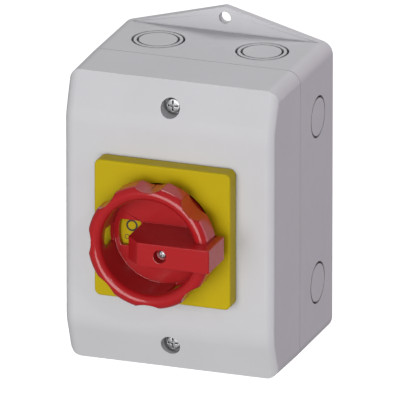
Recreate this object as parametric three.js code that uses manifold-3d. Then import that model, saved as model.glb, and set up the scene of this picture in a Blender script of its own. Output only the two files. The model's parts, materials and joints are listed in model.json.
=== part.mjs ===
// Three-pole rotary isolator switch in an insulating wall enclosure.
// Millimetres, +Z up, +X to the right, +Y towards the wall.
// The origin is the centre of the flat back face, so the whole object lies at Y <= 0.
// Rest position: handle bar horizontal (off), cover closed.

import * as THREE from 'three';
import { mergeVertices } from 'three/addons/utils/BufferGeometryUtils.js';
import Module from 'manifold-3d';

const wasm = await Module();
wasm.setup();

// ---------- clearances ----------
const CLEAR = 0.3;              // between pieces that touch or run on each other
const OVERSHOOT = 1;            // how far a cutting tool runs past the face it cuts

// ---------- enclosure ----------
const WIDTH = 105;
const HEIGHT = 144;
const CORNER_R = 6.5;
const BASE_DEPTH = 46;          // back face to parting line
const COVER_DEPTH = 37;         // parting line to the flat front
const WALL = 3.2;
const BACK_WALL = 3.5;
const FRONT_WALL = 3;
const DRAFT = 0.7;              // how much each side of the cover comes in at the front
const TILT_HEIGHT = 20.7;       // height of the tilted zone at the top and at the bottom
const TILT_SETBACK = 7.6;       // how far that zone falls back at its outer edge
const SIDE_EDGE_R = 5.5;        // rounding of the front's left and right edges
const TONGUE_HEIGHT = 1.6;
const TONGUE_WIDTH = 1.2;
const GASKET_THICKNESS = 1;

// ---------- fixing lugs and knock-outs ----------
const LUG_THICKNESS = 4.3;
const LUG_REACH = 12.4;         // beyond the enclosure's top or bottom
const LUG_TIP_R = 3.5;
const LUG_HOLE_R = 2.9;
const LUG_HOLE_OUT = 7;         // hole centre beyond the enclosure's top or bottom
const KNOCKOUT_X = 25.9;        // top and bottom entries, left and right of the middle
const KNOCKOUT_TOP_Y = -24.7;
const KNOCKOUT_Z = 41.4;        // side entries, above and below the middle
const KNOCKOUT_SIDE_Y = -21;
const M20_RING_R = 10.25;
const M25_RING_R = 12.75;
const RING_GROOVE_WIDTH = 1.1;
const RING_GROOVE_DEPTH = 1.5;

// ---------- cover screws ----------
const COVER_SCREW_INSET = 13;   // from the enclosure's top or bottom edge
const COVER_SCREW_HEAD_R = 3.6;
const COVER_SCREW_HEAD_H = 3;
const COVER_SCREW_SHANK_R = 2;
const COVER_SCREW_SUNK = 3.5;   // head face below the cover's surface
const COVER_SCREW_LENGTH = 38;
const SCREW_WELL_R = 4.75;
const SCREW_COLUMN_R = 7;
const SCREW_POST_R = 5;
const SCREW_SEAT = 2.4;         // material under the screw's head

// ---------- yellow front plate ----------
const PLATE_SIZE = 67.5;
const PLATE_THICKNESS = 8.5;
const PLATE_CORNER_R = 3;
const PLATE_EDGE_R = 1;
const PLATE_RIM = 2.5;
const PLATE_LEDGE = 3;          // step that presses on the gasket
const PLATE_WEB = 2.2;
const PLATE_RECESS = 1.8;       // depth of the round recess that the knob sits in
const PLATE_GASKET_T = 1.2;
const PLATE_SCREW_INSET = 9.75;
const PLATE_SCREW_R = 1.3;
const PLATE_SCREW_HEAD_R = 2.6;
const PLATE_SCREW_HEAD_H = 2;
const PLATE_BOSS_R = 3.4;

// ---------- knob ----------
const KNOB_NECK_R = 25;
const KNOB_CUP_R = 23.4;
const KNOB_GRIP_R = 31;
const KNOB_FLOOR = 2.7;
const KNOB_NECK_LENGTH = 9.7;
const KNOB_GRIP_HEIGHT = 13;
const BAR_RISE = 7.6;           // bar's front face beyond the grip's crest
const BAR_WIDTH = 11.5;
const BAR_TIP_X = 33.5;
const BAR_HEEL_X = -9;
const BAR_CHAMFER_X = 7.1;
const BAR_CHAMFER_D = 7.6;
const BAR_TIP_DROP = 21.8;      // depth of the overhanging tip
const SCALLOPS = 8;
const SCALLOP_R = 13;
const SCALLOP_DEPTH = 2.4;
const PADLOCK_SLOTS = 3;
const PADLOCK_SLOT_WIDTH = 9.5;
const PADLOCK_SLOT_HEIGHT = 11.8;
const WINDOW_INNER_X = 10;
const WINDOW_OUTER_R = 21;
const WINDOW_TOP = 6;
const WINDOW_BOTTOM = -6.8;
const KNOB_SCREW_X = 9.2;
const KNOB_SCREW_HEAD_R = 1.9;
const KNOB_SCREW_HEAD_H = 1.6;
const KNOB_SCREW_SHANK_R = 1.2;
const KNOB_SCREW_LENGTH = 12;
const KNOB_SCREW_WELL_R = 3.15;
const KNOB_SCREW_SUNK = 3;      // head face below the bar's front face
const KNOB_SEAT = 1.8;          // red material under the knob screw's head

// ---------- knob hub, seal and ring ----------
const STEM_R = 6.5;
const STEM_GROOVE_R = 5.2;
const STEM_TAIL = 4.2;          // stem beyond the retaining ring's groove
const HUB_BLOCK_WIDTH = 7.4;
const HUB_BLOCK_HEEL = 6.5;
const HUB_BLOCK_TOE = 13.7;
const BOSS_R = 12;
const BOSS_LENGTH = 8;
const SEAL_POCKET_R = 9.2;
const SEAL_POCKET_DEPTH = 4;
const SEAL_THICKNESS = 2.4;
const RING_R = 10.6;
const RING_THICKNESS = 1.2;
const RING_OPENING = 60;        // degrees

// ---------- switch block ----------
const SHAFT_SIZE = 6;
const POLES = 3;
const POLE_PITCH = 17.5;
const CHANNEL_WIDTH = 12;
const BLOCK_SIDE = 4;           // outer wall of the block beside the last channel
const BLOCK_HEIGHT = 68;
const BLOCK_DEPTH = 21.5;
const BLOCK_FLOOR = 2.5;
const MOUNT_POST = 2.7;
const MOUNT_POST_R = 4;
const EAR_LENGTH = 8;
const EAR_WIDTH = 10;
const EAR_THICKNESS = 3.5;
const CAP_HEIGHT = 40;
const CAP_WALL = 2.2;
const CAP_SCREW_R = 1.25;
const CAP_SCREW_HEAD_R = 2.4;
const CAP_SCREW_Z = 15;
const CAP_SCREW_BITE = 10;      // thread in the block

// ---------- contacts and carrier ----------
const TRAVEL = 4;               // carrier stroke from off to on
const CONTACT_LEVEL = 15;       // contact face above the block's back
const CONTACT_THICKNESS = 1.5;
const CONTACT_WIDTH = 6;
const CONTACT_INNER_Z = 5;
const CONTACT_OUTER_Z = 31.5;
const BRIDGE_WIDTH = 8;
const BRIDGE_LENGTH = 18;
const BRIDGE_THICKNESS = 1.5;
const LEG_THICKNESS = 1.4;
const LEG_WIDTH = 5;
const CROSSBAR = 1.5;
const CARRIER_THICKNESS = 2.5;
const CARRIER_HEIGHT = 18;
const CONTACT_SPRING_LENGTH = 5.4;
const CONTACT_SPRING_R = 2.3;
const SPRING_WIRE_R = 0.4;
const FOLLOWER_LENGTH = 4.2;
const FOLLOWER_WIDTH = 1.8;
const FOLLOWER_GAP = 0.6;       // leaves room for the ramp's slope under the follower's width

// ---------- rotor ----------
const ROTOR_R = 12.5;
const RAMP_INNER_R = 7;
const ROTOR_THICKNESS = 7.9;
const HUB_REAR_GAP = 0.4;
const JOURNAL_R = 6.8;
const JOURNAL_OUT = 1.5;
const RAMP_SWEEP = 90;          // degrees of turn from off to on
const RAMP_DWELL = 15;
const RAMP_SECTORS = 36;

// ---------- detents ----------
const BALL_R = 2;
const NOTCH_DEPTH = 0.8;
const DETENT_SPRING_LENGTH = 5;
const DETENT_SPRING_R = 1.5;
const DETENT_SPRING_WIRE_R = 0.3;

// ---------- terminals ----------
const CLAMP_WIDTH = 9;
const CLAMP_LENGTH = 7.5;
const CLAMP_WALL = 1.3;
const CLAMP_WIRE_ROOM = 5.5;    // behind the contact strip
const CLAMP_SCREW_ROOM = 1;     // in front of the contact strip
const CLAMP_SCREW_R = 1.7;
const CLAMP_SCREW_HEAD_R = 3;
const CLAMP_SCREW_HEAD_H = 1.8;
const SPARE_TERMINAL_SIZE = 9;
const SPARE_TERMINAL_LENGTH = 14;
const SPARE_PEDESTAL = 4.5;
const SPARE_WALL_GAP = 6;
const SPARE_WIRE_R = 2.1;

// ---------- derived positions ----------
const PART_Y = -BASE_DEPTH;
const COVER_REAR_Y = PART_Y - CLEAR;
const FRONT_Y = -(BASE_DEPTH + COVER_DEPTH);
const INNER_FRONT_Y = FRONT_Y + FRONT_WALL;
const TILT_START_Z = HEIGHT / 2 - TILT_HEIGHT;
const TILT_SLOPE = TILT_SETBACK / TILT_HEIGHT;
const COVER_SCREW_Z = HEIGHT / 2 - COVER_SCREW_INSET;
const COVER_SCREW_FACE_Y = frontSurfaceY(COVER_SCREW_Z) + COVER_SCREW_SUNK;
const COVER_SCREW_SEAT_Y = COVER_SCREW_FACE_Y + COVER_SCREW_HEAD_H + CLEAR;
const COLUMN_END_Y = COVER_SCREW_SEAT_Y + SCREW_SEAT;
const POST_TOP_Y = COLUMN_END_Y + CLEAR;

const PLATE_BACK_D = CLEAR;
const PLATE_FRONT_D = PLATE_BACK_D + PLATE_THICKNESS;
const RECESS_D = PLATE_FRONT_D - PLATE_RECESS;
const PLATE_CAVITY_D = RECESS_D - PLATE_WEB;
const PLATE_SCREW_XZ = PLATE_SIZE / 2 - PLATE_SCREW_INSET;

const KNOB_BACK_D = RECESS_D + CLEAR;
const KNOB_FLOOR_D = KNOB_BACK_D + KNOB_FLOOR;
const GRIP_D = KNOB_BACK_D + KNOB_NECK_LENGTH;
const CREST_D = GRIP_D + KNOB_GRIP_HEIGHT;
const BAR_D = CREST_D + BAR_RISE;
const KNOB_SCREW_FACE_D = BAR_D - KNOB_SCREW_SUNK;
const KNOB_SCREW_SEAT_D = KNOB_SCREW_FACE_D - KNOB_SCREW_HEAD_H - CLEAR;
const HUB_TOP_D = KNOB_SCREW_SEAT_D - KNOB_SEAT - CLEAR;
const STEM_HOLE_R = STEM_R + CLEAR;
const BOSS_END_Y = INNER_FRONT_Y + BOSS_LENGTH;
const RING_FRONT_Y = BOSS_END_Y + CLEAR;
const STEM_END_Y = RING_FRONT_Y + RING_THICKNESS + CLEAR + STEM_TAIL;

const BLOCK_BACK_Y = -(BACK_WALL + MOUNT_POST + CLEAR);
const BLOCK_FRONT_Y = BLOCK_BACK_Y - BLOCK_DEPTH;
const CAP_BACK_Y = BLOCK_FRONT_Y - CLEAR;
const CONTACT_FACE_Y = BLOCK_BACK_Y - CONTACT_LEVEL;
const CONTACT_BACK_Y = CONTACT_FACE_Y + CONTACT_THICKNESS;
const BRIDGE_BACK_Y = CONTACT_FACE_Y - CLEAR - TRAVEL;
const BRIDGE_FRONT_Y = BRIDGE_BACK_Y - BRIDGE_THICKNESS;
const CARRIER_BACK_Y = BRIDGE_FRONT_Y - CONTACT_SPRING_LENGTH - 2 * CLEAR;
const CARRIER_FRONT_Y = CARRIER_BACK_Y - CARRIER_THICKNESS;
const FOLLOWER_TIP_Y = CARRIER_FRONT_Y - FOLLOWER_LENGTH;
const RAMP_LOW_Y = FOLLOWER_TIP_Y - FOLLOWER_GAP;
const ROTOR_FRONT_Y = RAMP_LOW_Y - ROTOR_THICKNESS;
const ROTOR_HUB_REAR_Y = RAMP_LOW_Y + TRAVEL - HUB_REAR_GAP;
const CAP_FRONT_Y = ROTOR_FRONT_Y - CLEAR - CAP_WALL;
const CAP_CAVITY_Y = CARRIER_FRONT_Y - 2 * CLEAR;
const BLOCK_HALF_X = (POLES - 1) * POLE_PITCH / 2 + CHANNEL_WIDTH / 2 + BLOCK_SIDE;
const CARRIER_HALF_X = (POLES - 1) * POLE_PITCH / 2 + BRIDGE_WIDTH / 2 + CLEAR + LEG_THICKNESS;
const EAR_X = BLOCK_HALF_X + EAR_LENGTH / 2;
const EAR_FRONT_Y = BLOCK_BACK_Y - EAR_THICKNESS;
const CLAMP_Z = CONTACT_OUTER_Z - CLAMP_LENGTH / 2;
const DETENT_Y = ROTOR_FRONT_Y + BALL_R + 1.5;
const BALL_X = ROTOR_R + CLEAR + BALL_R;
const DETENT_BORE_R = BALL_R + CLEAR;
const DETENT_SPRING_X = BALL_X + BALL_R + CLEAR;
const PLUG_X = DETENT_SPRING_X + DETENT_SPRING_LENGTH + CLEAR;
const SPARE_X = WIDTH / 2 - WALL - SPARE_WALL_GAP - SPARE_TERMINAL_SIZE / 2;
const SPARE_Z = -(BLOCK_HEIGHT / 2 + SPARE_TERMINAL_LENGTH);
const SPARE_BACK_Y = -(BACK_WALL + SPARE_PEDESTAL + CLEAR);

// ---------- materials ----------
const material = (color, roughness, metalness = 0) =>
  new THREE.MeshStandardMaterial({ color, roughness, metalness });
const GREY = material(0xc9c8ca, 0.55);
const YELLOW = material(0xbfa516, 0.5);
const RED = material(0xaf272c, 0.45);
const BLACK = material(0x26272a, 0.6);
const RUBBER = material(0x1c1c1e, 0.9);
const CREAM = material(0xd9d4c2, 0.55);
const STEEL = material(0xb4b5b8, 0.35, 1);
const COPPER = material(0xb87348, 0.35, 1);
const BRASS = material(0xc2a25a, 0.35, 1);

// ---------- geometry helpers ----------

/** A depth measured outwards from the cover's flat front, as a Y coordinate. */
function out(depth) {
  return FRONT_Y - depth;
}

/** Y of the cover's front surface at a height; the zones at the top and bottom tilt back. */
function frontSurfaceY(z) {
  return FRONT_Y + Math.max(0, Math.abs(z) - TILT_START_Z) * TILT_SLOPE;
}

/** Turns a closed three.js geometry into a solid with its faces pointing out. */
function solid(geometry) {
  const bare = geometry.clone();
  bare.deleteAttribute('normal');
  bare.deleteAttribute('uv');
  const merged = mergeVertices(bare, 1e-4);
  const points = Float32Array.from(merged.attributes.position.array);
  const index = merged.index.array;
  const triangles = [];
  let volume = 0;
  const corner = (i) => new THREE.Vector3().fromArray(points, i * 3);
  for (let i = 0; i < index.length; i += 3) {
    const [a, b, c] = [index[i], index[i + 1], index[i + 2]];
    if (a !== b && b !== c && c !== a) {
      triangles.push(a, b, c);
      volume += corner(a).dot(corner(b).cross(corner(c)));
    }
  }
  if (volume < 0) {
    triangles.reverse();
  }
  const mesh = new wasm.Mesh({ numProp: 3, vertProperties: points, triVerts: Uint32Array.from(triangles) });
  return new wasm.Manifold(mesh);
}

/** A box from its two limits along each axis, given in either order. */
function box(x0, x1, y0, y1, z0, z1) {
  const shape = new THREE.BoxGeometry(Math.abs(x1 - x0), Math.abs(y1 - y0), Math.abs(z1 - z0));
  return solid(shape.translate((x0 + x1) / 2, (y0 + y1) / 2, (z0 + z1) / 2));
}

/** A cylinder along X, Y or Z, between two limits on that axis. */
function cylinder(axis, radius, from, to, centre = [0, 0], segments = 20) {
  const shape = new THREE.CylinderGeometry(radius, radius, Math.abs(to - from), segments);
  const middle = (from + to) / 2;
  const [u, v] = centre;
  if (axis === 'x') {
    shape.rotateZ(-Math.PI / 2).translate(middle, u, v);
  } else if (axis === 'y') {
    shape.translate(u, middle, v);
  } else {
    shape.rotateX(Math.PI / 2).translate(u, v, middle);
  }
  return solid(shape);
}

/** A ring or a turned solid about the Y axis, from radius and Y pairs that close on themselves. */
function turned(profile, segments = 24) {
  const points = profile.map(([radius, y]) => new THREE.Vector2(radius, y));
  points.push(points[0].clone());
  return new THREE.LatheGeometry(points, segments);
}

/** A plain ring about the Y axis. */
function ring(innerR, outerR, y0, y1, segments = 24) {
  return solid(turned([[innerR, y0], [outerR, y0], [outerR, y1], [innerR, y1]], segments));
}

/** Extrudes an outline drawn in X and Z along Y. */
function extrudeY(shape, y0, y1, segments = 3, edgeR = 0) {
  const geometry = new THREE.ExtrudeGeometry(shape, {
    depth: Math.abs(y1 - y0) - 2 * edgeR,
    curveSegments: segments,
    bevelEnabled: edgeR > 0,
    bevelSize: edgeR,
    bevelThickness: edgeR,
    bevelOffset: -edgeR,
    bevelSegments: 2,
  });
  return geometry.rotateX(Math.PI / 2).translate(0, Math.max(y0, y1) - edgeR, 0);
}

/** A rectangle with round corners, centred on the origin. */
function roundRect(width, height, radius, Kind = THREE.Shape) {
  const x = width / 2 - radius;
  const z = height / 2 - radius;
  const shape = new Kind();
  shape.absarc(x, z, radius, 0, Math.PI / 2);
  shape.absarc(-x, z, radius, Math.PI / 2, Math.PI);
  shape.absarc(-x, -z, radius, Math.PI, 1.5 * Math.PI);
  shape.absarc(x, -z, radius, 1.5 * Math.PI, 2 * Math.PI);
  shape.closePath();
  return shape;
}

/** A frame that follows the enclosure's rim, between two insets from its outer face. */
function rimFrame(outerInset, innerInset, y0, y1) {
  const shape = roundRect(WIDTH - 2 * outerInset, HEIGHT - 2 * outerInset, CORNER_R - outerInset);
  shape.holes.push(
    roundRect(WIDTH - 2 * innerInset, HEIGHT - 2 * innerInset, CORNER_R - innerInset, THREE.Path));
  return solid(extrudeY(shape, y0, y1));
}

/** A screw along Y with its head face at faceY and a slot, plus a cross on request. */
function screw({ headR, headH, shankR, length, faceY, x = 0, z = 0, cross = false }) {
  const edge = headH * 0.2;
  const profile = [
    [0, faceY], [headR - edge, faceY], [headR, faceY + edge], [headR, faceY + headH],
    [shankR, faceY + headH], [shankR, faceY + length], [0, faceY + length],
  ];
  const slot = headR * 0.14;
  const reach = cross ? headR * 0.8 : headR + OVERSHOOT;
  const depth = headH * 0.45;
  let body = solid(turned(profile, 12));
  body = body.subtract(box(-slot, slot, faceY - OVERSHOOT, faceY + depth, -reach, reach));
  if (cross) {
    body = body.subtract(box(-reach, reach, faceY - OVERSHOOT, faceY + depth, -slot, slot));
  }
  return body.translate([x, 0, z]);
}

/** A round wire wound into a helix about the Y axis, with its ends at y0 and y1. */
class Helix extends THREE.Curve {
  constructor(radius, y0, y1, turns) {
    super();
    Object.assign(this, { radius, y0, y1, turns });
  }

  getPoint(t, target = new THREE.Vector3()) {
    const angle = 2 * Math.PI * this.turns * t;
    return target.set(
      this.radius * Math.cos(angle), this.y0 + (this.y1 - this.y0) * t, this.radius * Math.sin(angle));
  }
}

function spring(radius, wireR, y0, y1, turns) {
  const wire = new THREE.Shape();
  wire.absarc(0, 0, wireR, 0, 2 * Math.PI);
  const stepsPerTurn = 8;
  return solid(new THREE.ExtrudeGeometry(wire, {
    extrudePath: new Helix(radius, Math.min(y0, y1) + wireR, Math.max(y0, y1) - wireR, turns),
    steps: Math.round(turns * stepsPerTurn),
    curveSegments: 3,
    bevelEnabled: false,
  }));
}

const add = (first, ...others) => others.reduce((sum, other) => sum.add(other), first);
const cut = (first, ...others) => others.reduce((rest, other) => rest.subtract(other), first);
const SIDES = [['left', -1], ['right', 1]];
const ENDS = [['top', 1], ['bottom', -1]];
const poleX = (pole) => (pole - (POLES - 1) / 2) * POLE_PITCH;

const group = new THREE.Group();
group.name = 'rotary_isolator_switch';

/** Adds one solid to the assembly as a named mesh. */
function place(name, body, finish) {
  const { vertProperties, triVerts } = body.getMesh();
  const geometry = new THREE.BufferGeometry();
  geometry.setAttribute('position', new THREE.BufferAttribute(Float32Array.from(vertProperties), 3));
  geometry.setIndex(new THREE.BufferAttribute(Uint32Array.from(triVerts), 1));
  geometry.computeVertexNormals();
  const mesh = new THREE.Mesh(geometry, finish);
  mesh.name = name;
  group.add(mesh);
}

// ---------- rear housing ----------

/** One fixing lug: a low triangle with a round tip whose sides run into the enclosure's corners. */
function lug(sign) {
  const bodyZ = HEIGHT / 2;
  const cornerX = WIDTH / 2 - CORNER_R;
  const cornerZ = bodyZ - CORNER_R;
  const centreZ = bodyZ + LUG_REACH - LUG_TIP_R;
  const drop = centreZ - cornerZ;
  const lean = Math.atan2(drop, cornerX) + Math.asin((LUG_TIP_R - CORNER_R) / Math.hypot(cornerX, drop));
  const rootX = cornerX + CORNER_R * Math.sin(lean);
  const rootZ = cornerZ + CORNER_R * Math.cos(lean);
  const outline = new THREE.Shape();
  outline.moveTo(-cornerX, bodyZ - WALL / 2);
  outline.lineTo(cornerX, bodyZ - WALL / 2);
  outline.lineTo(rootX, rootZ);
  outline.absarc(0, centreZ, LUG_TIP_R, Math.PI / 2 - lean, Math.PI / 2 + lean);
  outline.lineTo(-rootX, rootZ);
  outline.closePath();
  const body = solid(extrudeY(outline, -LUG_THICKNESS, 0));
  const hole = cylinder(
    'y', LUG_HOLE_R, -LUG_THICKNESS - OVERSHOOT, OVERSHOOT, [0, bodyZ + LUG_HOLE_OUT]);
  const one = body.subtract(hole);
  return sign > 0 ? one : one.rotate([0, 180, 0]);
}

/** The ring groove of one knock-out, cut from outside along X or Z. */
function knockoutGroove(axis, sign, ringR, u, v) {
  const face = axis === 'z' ? HEIGHT / 2 : WIDTH / 2;
  const tool = turned([
    [ringR - RING_GROOVE_WIDTH, face - RING_GROOVE_DEPTH], [ringR, face - RING_GROOVE_DEPTH],
    [ringR, face + OVERSHOOT], [ringR - RING_GROOVE_WIDTH, face + OVERSHOOT],
  ], 16);
  if (axis === 'z') {
    tool.rotateX(sign * Math.PI / 2).translate(u, v, 0);
  } else {
    tool.rotateZ(-sign * Math.PI / 2).translate(0, v, u);
  }
  return solid(tool);
}

function knockoutGrooves() {
  const grooves = [];
  for (const side of [-1, 1]) {
    for (const end of [-1, 1]) {
      grooves.push(knockoutGroove('z', end, M25_RING_R, side * KNOCKOUT_X, KNOCKOUT_TOP_Y));
      grooves.push(knockoutGroove('z', end, M20_RING_R, side * KNOCKOUT_X, KNOCKOUT_TOP_Y));
      grooves.push(knockoutGroove('x', side, M20_RING_R, end * KNOCKOUT_Z, KNOCKOUT_SIDE_Y));
    }
  }
  return grooves;
}

function rearHousing() {
  const outline = roundRect(WIDTH, HEIGHT, CORNER_R);
  const hollow = roundRect(WIDTH - 2 * WALL, HEIGHT - 2 * WALL, CORNER_R - WALL);
  let body = solid(extrudeY(outline, PART_Y, 0));
  body = cut(body, solid(extrudeY(hollow, PART_Y - OVERSHOOT, -BACK_WALL)));
  const tongueInset = (WALL - TONGUE_WIDTH) / 2;
  const root = -BACK_WALL + OVERSHOOT;
  const seat = BLOCK_BACK_Y + CLEAR;
  body = add(
    body, lug(1), lug(-1),
    rimFrame(tongueInset, tongueInset + TONGUE_WIDTH, PART_Y - TONGUE_HEIGHT, PART_Y + CLEAR));
  for (const [, end] of ENDS) {
    body = body.add(cylinder('y', SCREW_POST_R, POST_TOP_Y, root, [0, end * COVER_SCREW_Z]));
  }
  for (const [, side] of SIDES) {
    body = body.add(cylinder('y', MOUNT_POST_R, seat, root, [side * EAR_X, 0], 16));
    body = body.add(box(
      side * (SPARE_X - SPARE_TERMINAL_SIZE / 2), side * (SPARE_X + SPARE_TERMINAL_SIZE / 2),
      root, SPARE_BACK_Y + CLEAR, SPARE_Z - SPARE_TERMINAL_LENGTH / 2, SPARE_Z + SPARE_TERMINAL_LENGTH / 2));
  }
  const tools = knockoutGrooves();
  for (const [, end] of ENDS) {
    tools.push(cylinder(
      'y', COVER_SCREW_SHANK_R + CLEAR, POST_TOP_Y - OVERSHOOT,
      COVER_SCREW_FACE_Y + COVER_SCREW_LENGTH + OVERSHOOT, [0, end * COVER_SCREW_Z], 16));
  }
  for (const [, side] of SIDES) {
    tools.push(cylinder('y', CAP_SCREW_R + CLEAR, seat - OVERSHOOT, seat + MOUNT_POST + OVERSHOOT,
      [side * EAR_X, 0], 12));
  }
  return cut(body, ...tools);
}

// ---------- front cover ----------

/** The cover's outer or inner form: tilted ends, round side edges, round corners and draft. */
function coverForm(inset, frontShift, rearY) {
  const halfH = HEIGHT / 2 - inset;
  const edgeR = SIDE_EDGE_R - inset / 2;
  const cornerR = CORNER_R - inset;
  const frontY = FRONT_Y + frontShift;
  const endY = frontY + (halfH - TILT_START_Z) * TILT_SLOPE;
  const farY = rearY + 2 * SIDE_EDGE_R;
  const side = new THREE.Shape();
  side.moveTo(farY, -halfH);
  side.lineTo(farY, halfH);
  side.lineTo(endY, halfH);
  side.lineTo(frontY, TILT_START_Z);
  side.lineTo(frontY, -TILT_START_Z);
  side.lineTo(endY, -halfH);
  side.closePath();
  const across = new THREE.ExtrudeGeometry(side, {
    depth: WIDTH - 2 * inset - 2 * edgeR,
    bevelEnabled: true,
    bevelSize: edgeR,
    bevelThickness: edgeR,
    bevelOffset: -edgeR,
    bevelSegments: 4,
  });
  across.translate(0, 0, inset + edgeR - WIDTH / 2);
  const toWorld = new THREE.Matrix4().makeBasis(
    new THREE.Vector3(0, 1, 0), new THREE.Vector3(0, 0, 1), new THREE.Vector3(1, 0, 0));
  across.applyMatrix4(toWorld);
  const outline = roundRect(WIDTH - 2 * inset, HEIGHT - 2 * inset, cornerR);
  const along = extrudeY(outline, frontY - OVERSHOOT, rearY);
  const position = along.attributes.position;
  for (let i = 0; i < position.count; i += 1) {
    if (position.getY(i) < frontY) {
      const x = position.getX(i);
      const z = position.getZ(i);
      position.setXYZ(i, x - Math.sign(x) * DRAFT, position.getY(i), z - Math.sign(z) * DRAFT);
    }
  }
  return solid(across).intersect(solid(along));
}

function frontCover() {
  const outer = coverForm(0, 0, COVER_REAR_Y);
  let body = cut(outer, coverForm(WALL, FRONT_WALL, COVER_REAR_Y + OVERSHOOT));
  body = body.add(cylinder('y', BOSS_R, INNER_FRONT_Y - OVERSHOOT, BOSS_END_Y, [0, 0], 32));
  const tools = [];
  for (const [, end] of ENDS) {
    const centre = [0, end * COVER_SCREW_Z];
    const wall = frontSurfaceY(COVER_SCREW_Z - SCREW_COLUMN_R) + FRONT_WALL;
    const column = cylinder('y', SCREW_COLUMN_R, wall - OVERSHOOT, COLUMN_END_Y, centre);
    body = body.add(column.intersect(outer));
    tools.push(cylinder('y', SCREW_WELL_R, FRONT_Y - OVERSHOOT, COVER_SCREW_SEAT_Y, centre));
    tools.push(cylinder(
      'y', COVER_SCREW_SHANK_R + CLEAR, FRONT_Y, COLUMN_END_Y + OVERSHOOT, centre, 16));
  }
  const grooveInset = (WALL - TONGUE_WIDTH) / 2 - CLEAR;
  tools.push(rimFrame(
    grooveInset, WALL - grooveInset,
    PART_Y - TONGUE_HEIGHT - GASKET_THICKNESS - 2 * CLEAR, COVER_REAR_Y + OVERSHOOT));
  tools.push(cylinder('y', STEM_HOLE_R, FRONT_Y - OVERSHOOT, BOSS_END_Y + OVERSHOOT));
  tools.push(cylinder('y', SEAL_POCKET_R, BOSS_END_Y - SEAL_POCKET_DEPTH, BOSS_END_Y + OVERSHOOT));
  for (const x of [-PLATE_SCREW_XZ, PLATE_SCREW_XZ]) {
    for (const z of [-PLATE_SCREW_XZ, PLATE_SCREW_XZ]) {
      tools.push(cylinder(
        'y', PLATE_SCREW_R + CLEAR, FRONT_Y - OVERSHOOT, INNER_FRONT_Y + OVERSHOOT, [x, z], 12));
    }
  }
  return cut(body, ...tools);
}

function coverGasket() {
  const inset = (WALL - TONGUE_WIDTH) / 2;
  const rearY = PART_Y - TONGUE_HEIGHT - CLEAR;
  return rimFrame(inset, inset + TONGUE_WIDTH, rearY - GASKET_THICKNESS, rearY);
}

function coverScrew(end) {
  return screw({
    headR: COVER_SCREW_HEAD_R, headH: COVER_SCREW_HEAD_H, shankR: COVER_SCREW_SHANK_R,
    length: COVER_SCREW_LENGTH, faceY: COVER_SCREW_FACE_Y, z: end * COVER_SCREW_Z, cross: true,
  });
}

// ---------- front plate ----------

function frontPlate() {
  const gasketSize = PLATE_SIZE - 2 * PLATE_RIM;
  const cavitySize = gasketSize - 2 * PLATE_LEDGE;
  const square = (size, radius, d0, d1) => solid(
    extrudeY(roundRect(size, size, radius), out(d1), out(d0), 2));
  const long = extrudeY(
    roundRect(PLATE_SIZE, PLATE_SIZE, PLATE_CORNER_R),
    out(PLATE_FRONT_D), out(PLATE_BACK_D - 2 * PLATE_EDGE_R), 2, PLATE_EDGE_R);
  const keep = PLATE_SIZE;
  let body = solid(long).intersect(
    box(-keep, keep, out(PLATE_FRONT_D + OVERSHOOT), out(PLATE_BACK_D), -keep, keep));
  body = cut(
    body,
    square(gasketSize, PLATE_CORNER_R / 2, PLATE_BACK_D - OVERSHOOT, PLATE_BACK_D + PLATE_GASKET_T + CLEAR),
    square(cavitySize, PLATE_CORNER_R / 2, PLATE_BACK_D, PLATE_CAVITY_D));
  body = body.add(cylinder('y', SEAL_POCKET_R, out(PLATE_BACK_D), out(PLATE_CAVITY_D + CLEAR)));
  const tools = [];
  for (const x of [-PLATE_SCREW_XZ, PLATE_SCREW_XZ]) {
    for (const z of [-PLATE_SCREW_XZ, PLATE_SCREW_XZ]) {
      body = body.add(cylinder(
        'y', PLATE_BOSS_R, out(PLATE_BACK_D), out(PLATE_CAVITY_D + CLEAR), [x, z], 16));
      tools.push(cylinder(
        'y', PLATE_SCREW_R + CLEAR, out(-OVERSHOOT), out(RECESS_D - CLEAR), [x, z], 12));
    }
  }
  tools.push(cylinder(
    'y', KNOB_NECK_R + 2 * CLEAR, out(PLATE_FRONT_D + OVERSHOOT), out(RECESS_D), [0, 0], 48));
  tools.push(cylinder('y', STEM_HOLE_R, out(PLATE_FRONT_D), out(-OVERSHOOT)));
  return cut(body, ...tools);
}

function plateGasket() {
  const size = PLATE_SIZE - 2 * PLATE_RIM - 2 * CLEAR;
  const inner = size - 2 * (PLATE_LEDGE - CLEAR);
  const shape = roundRect(size, size, PLATE_CORNER_R / 2);
  shape.holes.push(roundRect(inner, inner, PLATE_CORNER_R / 2, THREE.Path));
  return solid(extrudeY(shape, out(PLATE_BACK_D + PLATE_GASKET_T), out(PLATE_BACK_D), 2));
}

/** Plate screws are driven from inside the cover, so their heads face the wall. */
function plateScrew(x, z) {
  const tipY = out(RECESS_D - 2 * CLEAR);
  const faceY = INNER_FRONT_Y + CLEAR + PLATE_SCREW_HEAD_H;
  const body = screw({
    headR: PLATE_SCREW_HEAD_R, headH: PLATE_SCREW_HEAD_H, shankR: PLATE_SCREW_R,
    length: faceY - tipY, faceY: -faceY,
  });
  return body.rotate([180, 0, 0]).translate([x, 0, z]);
}

// ---------- knob ----------

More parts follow.
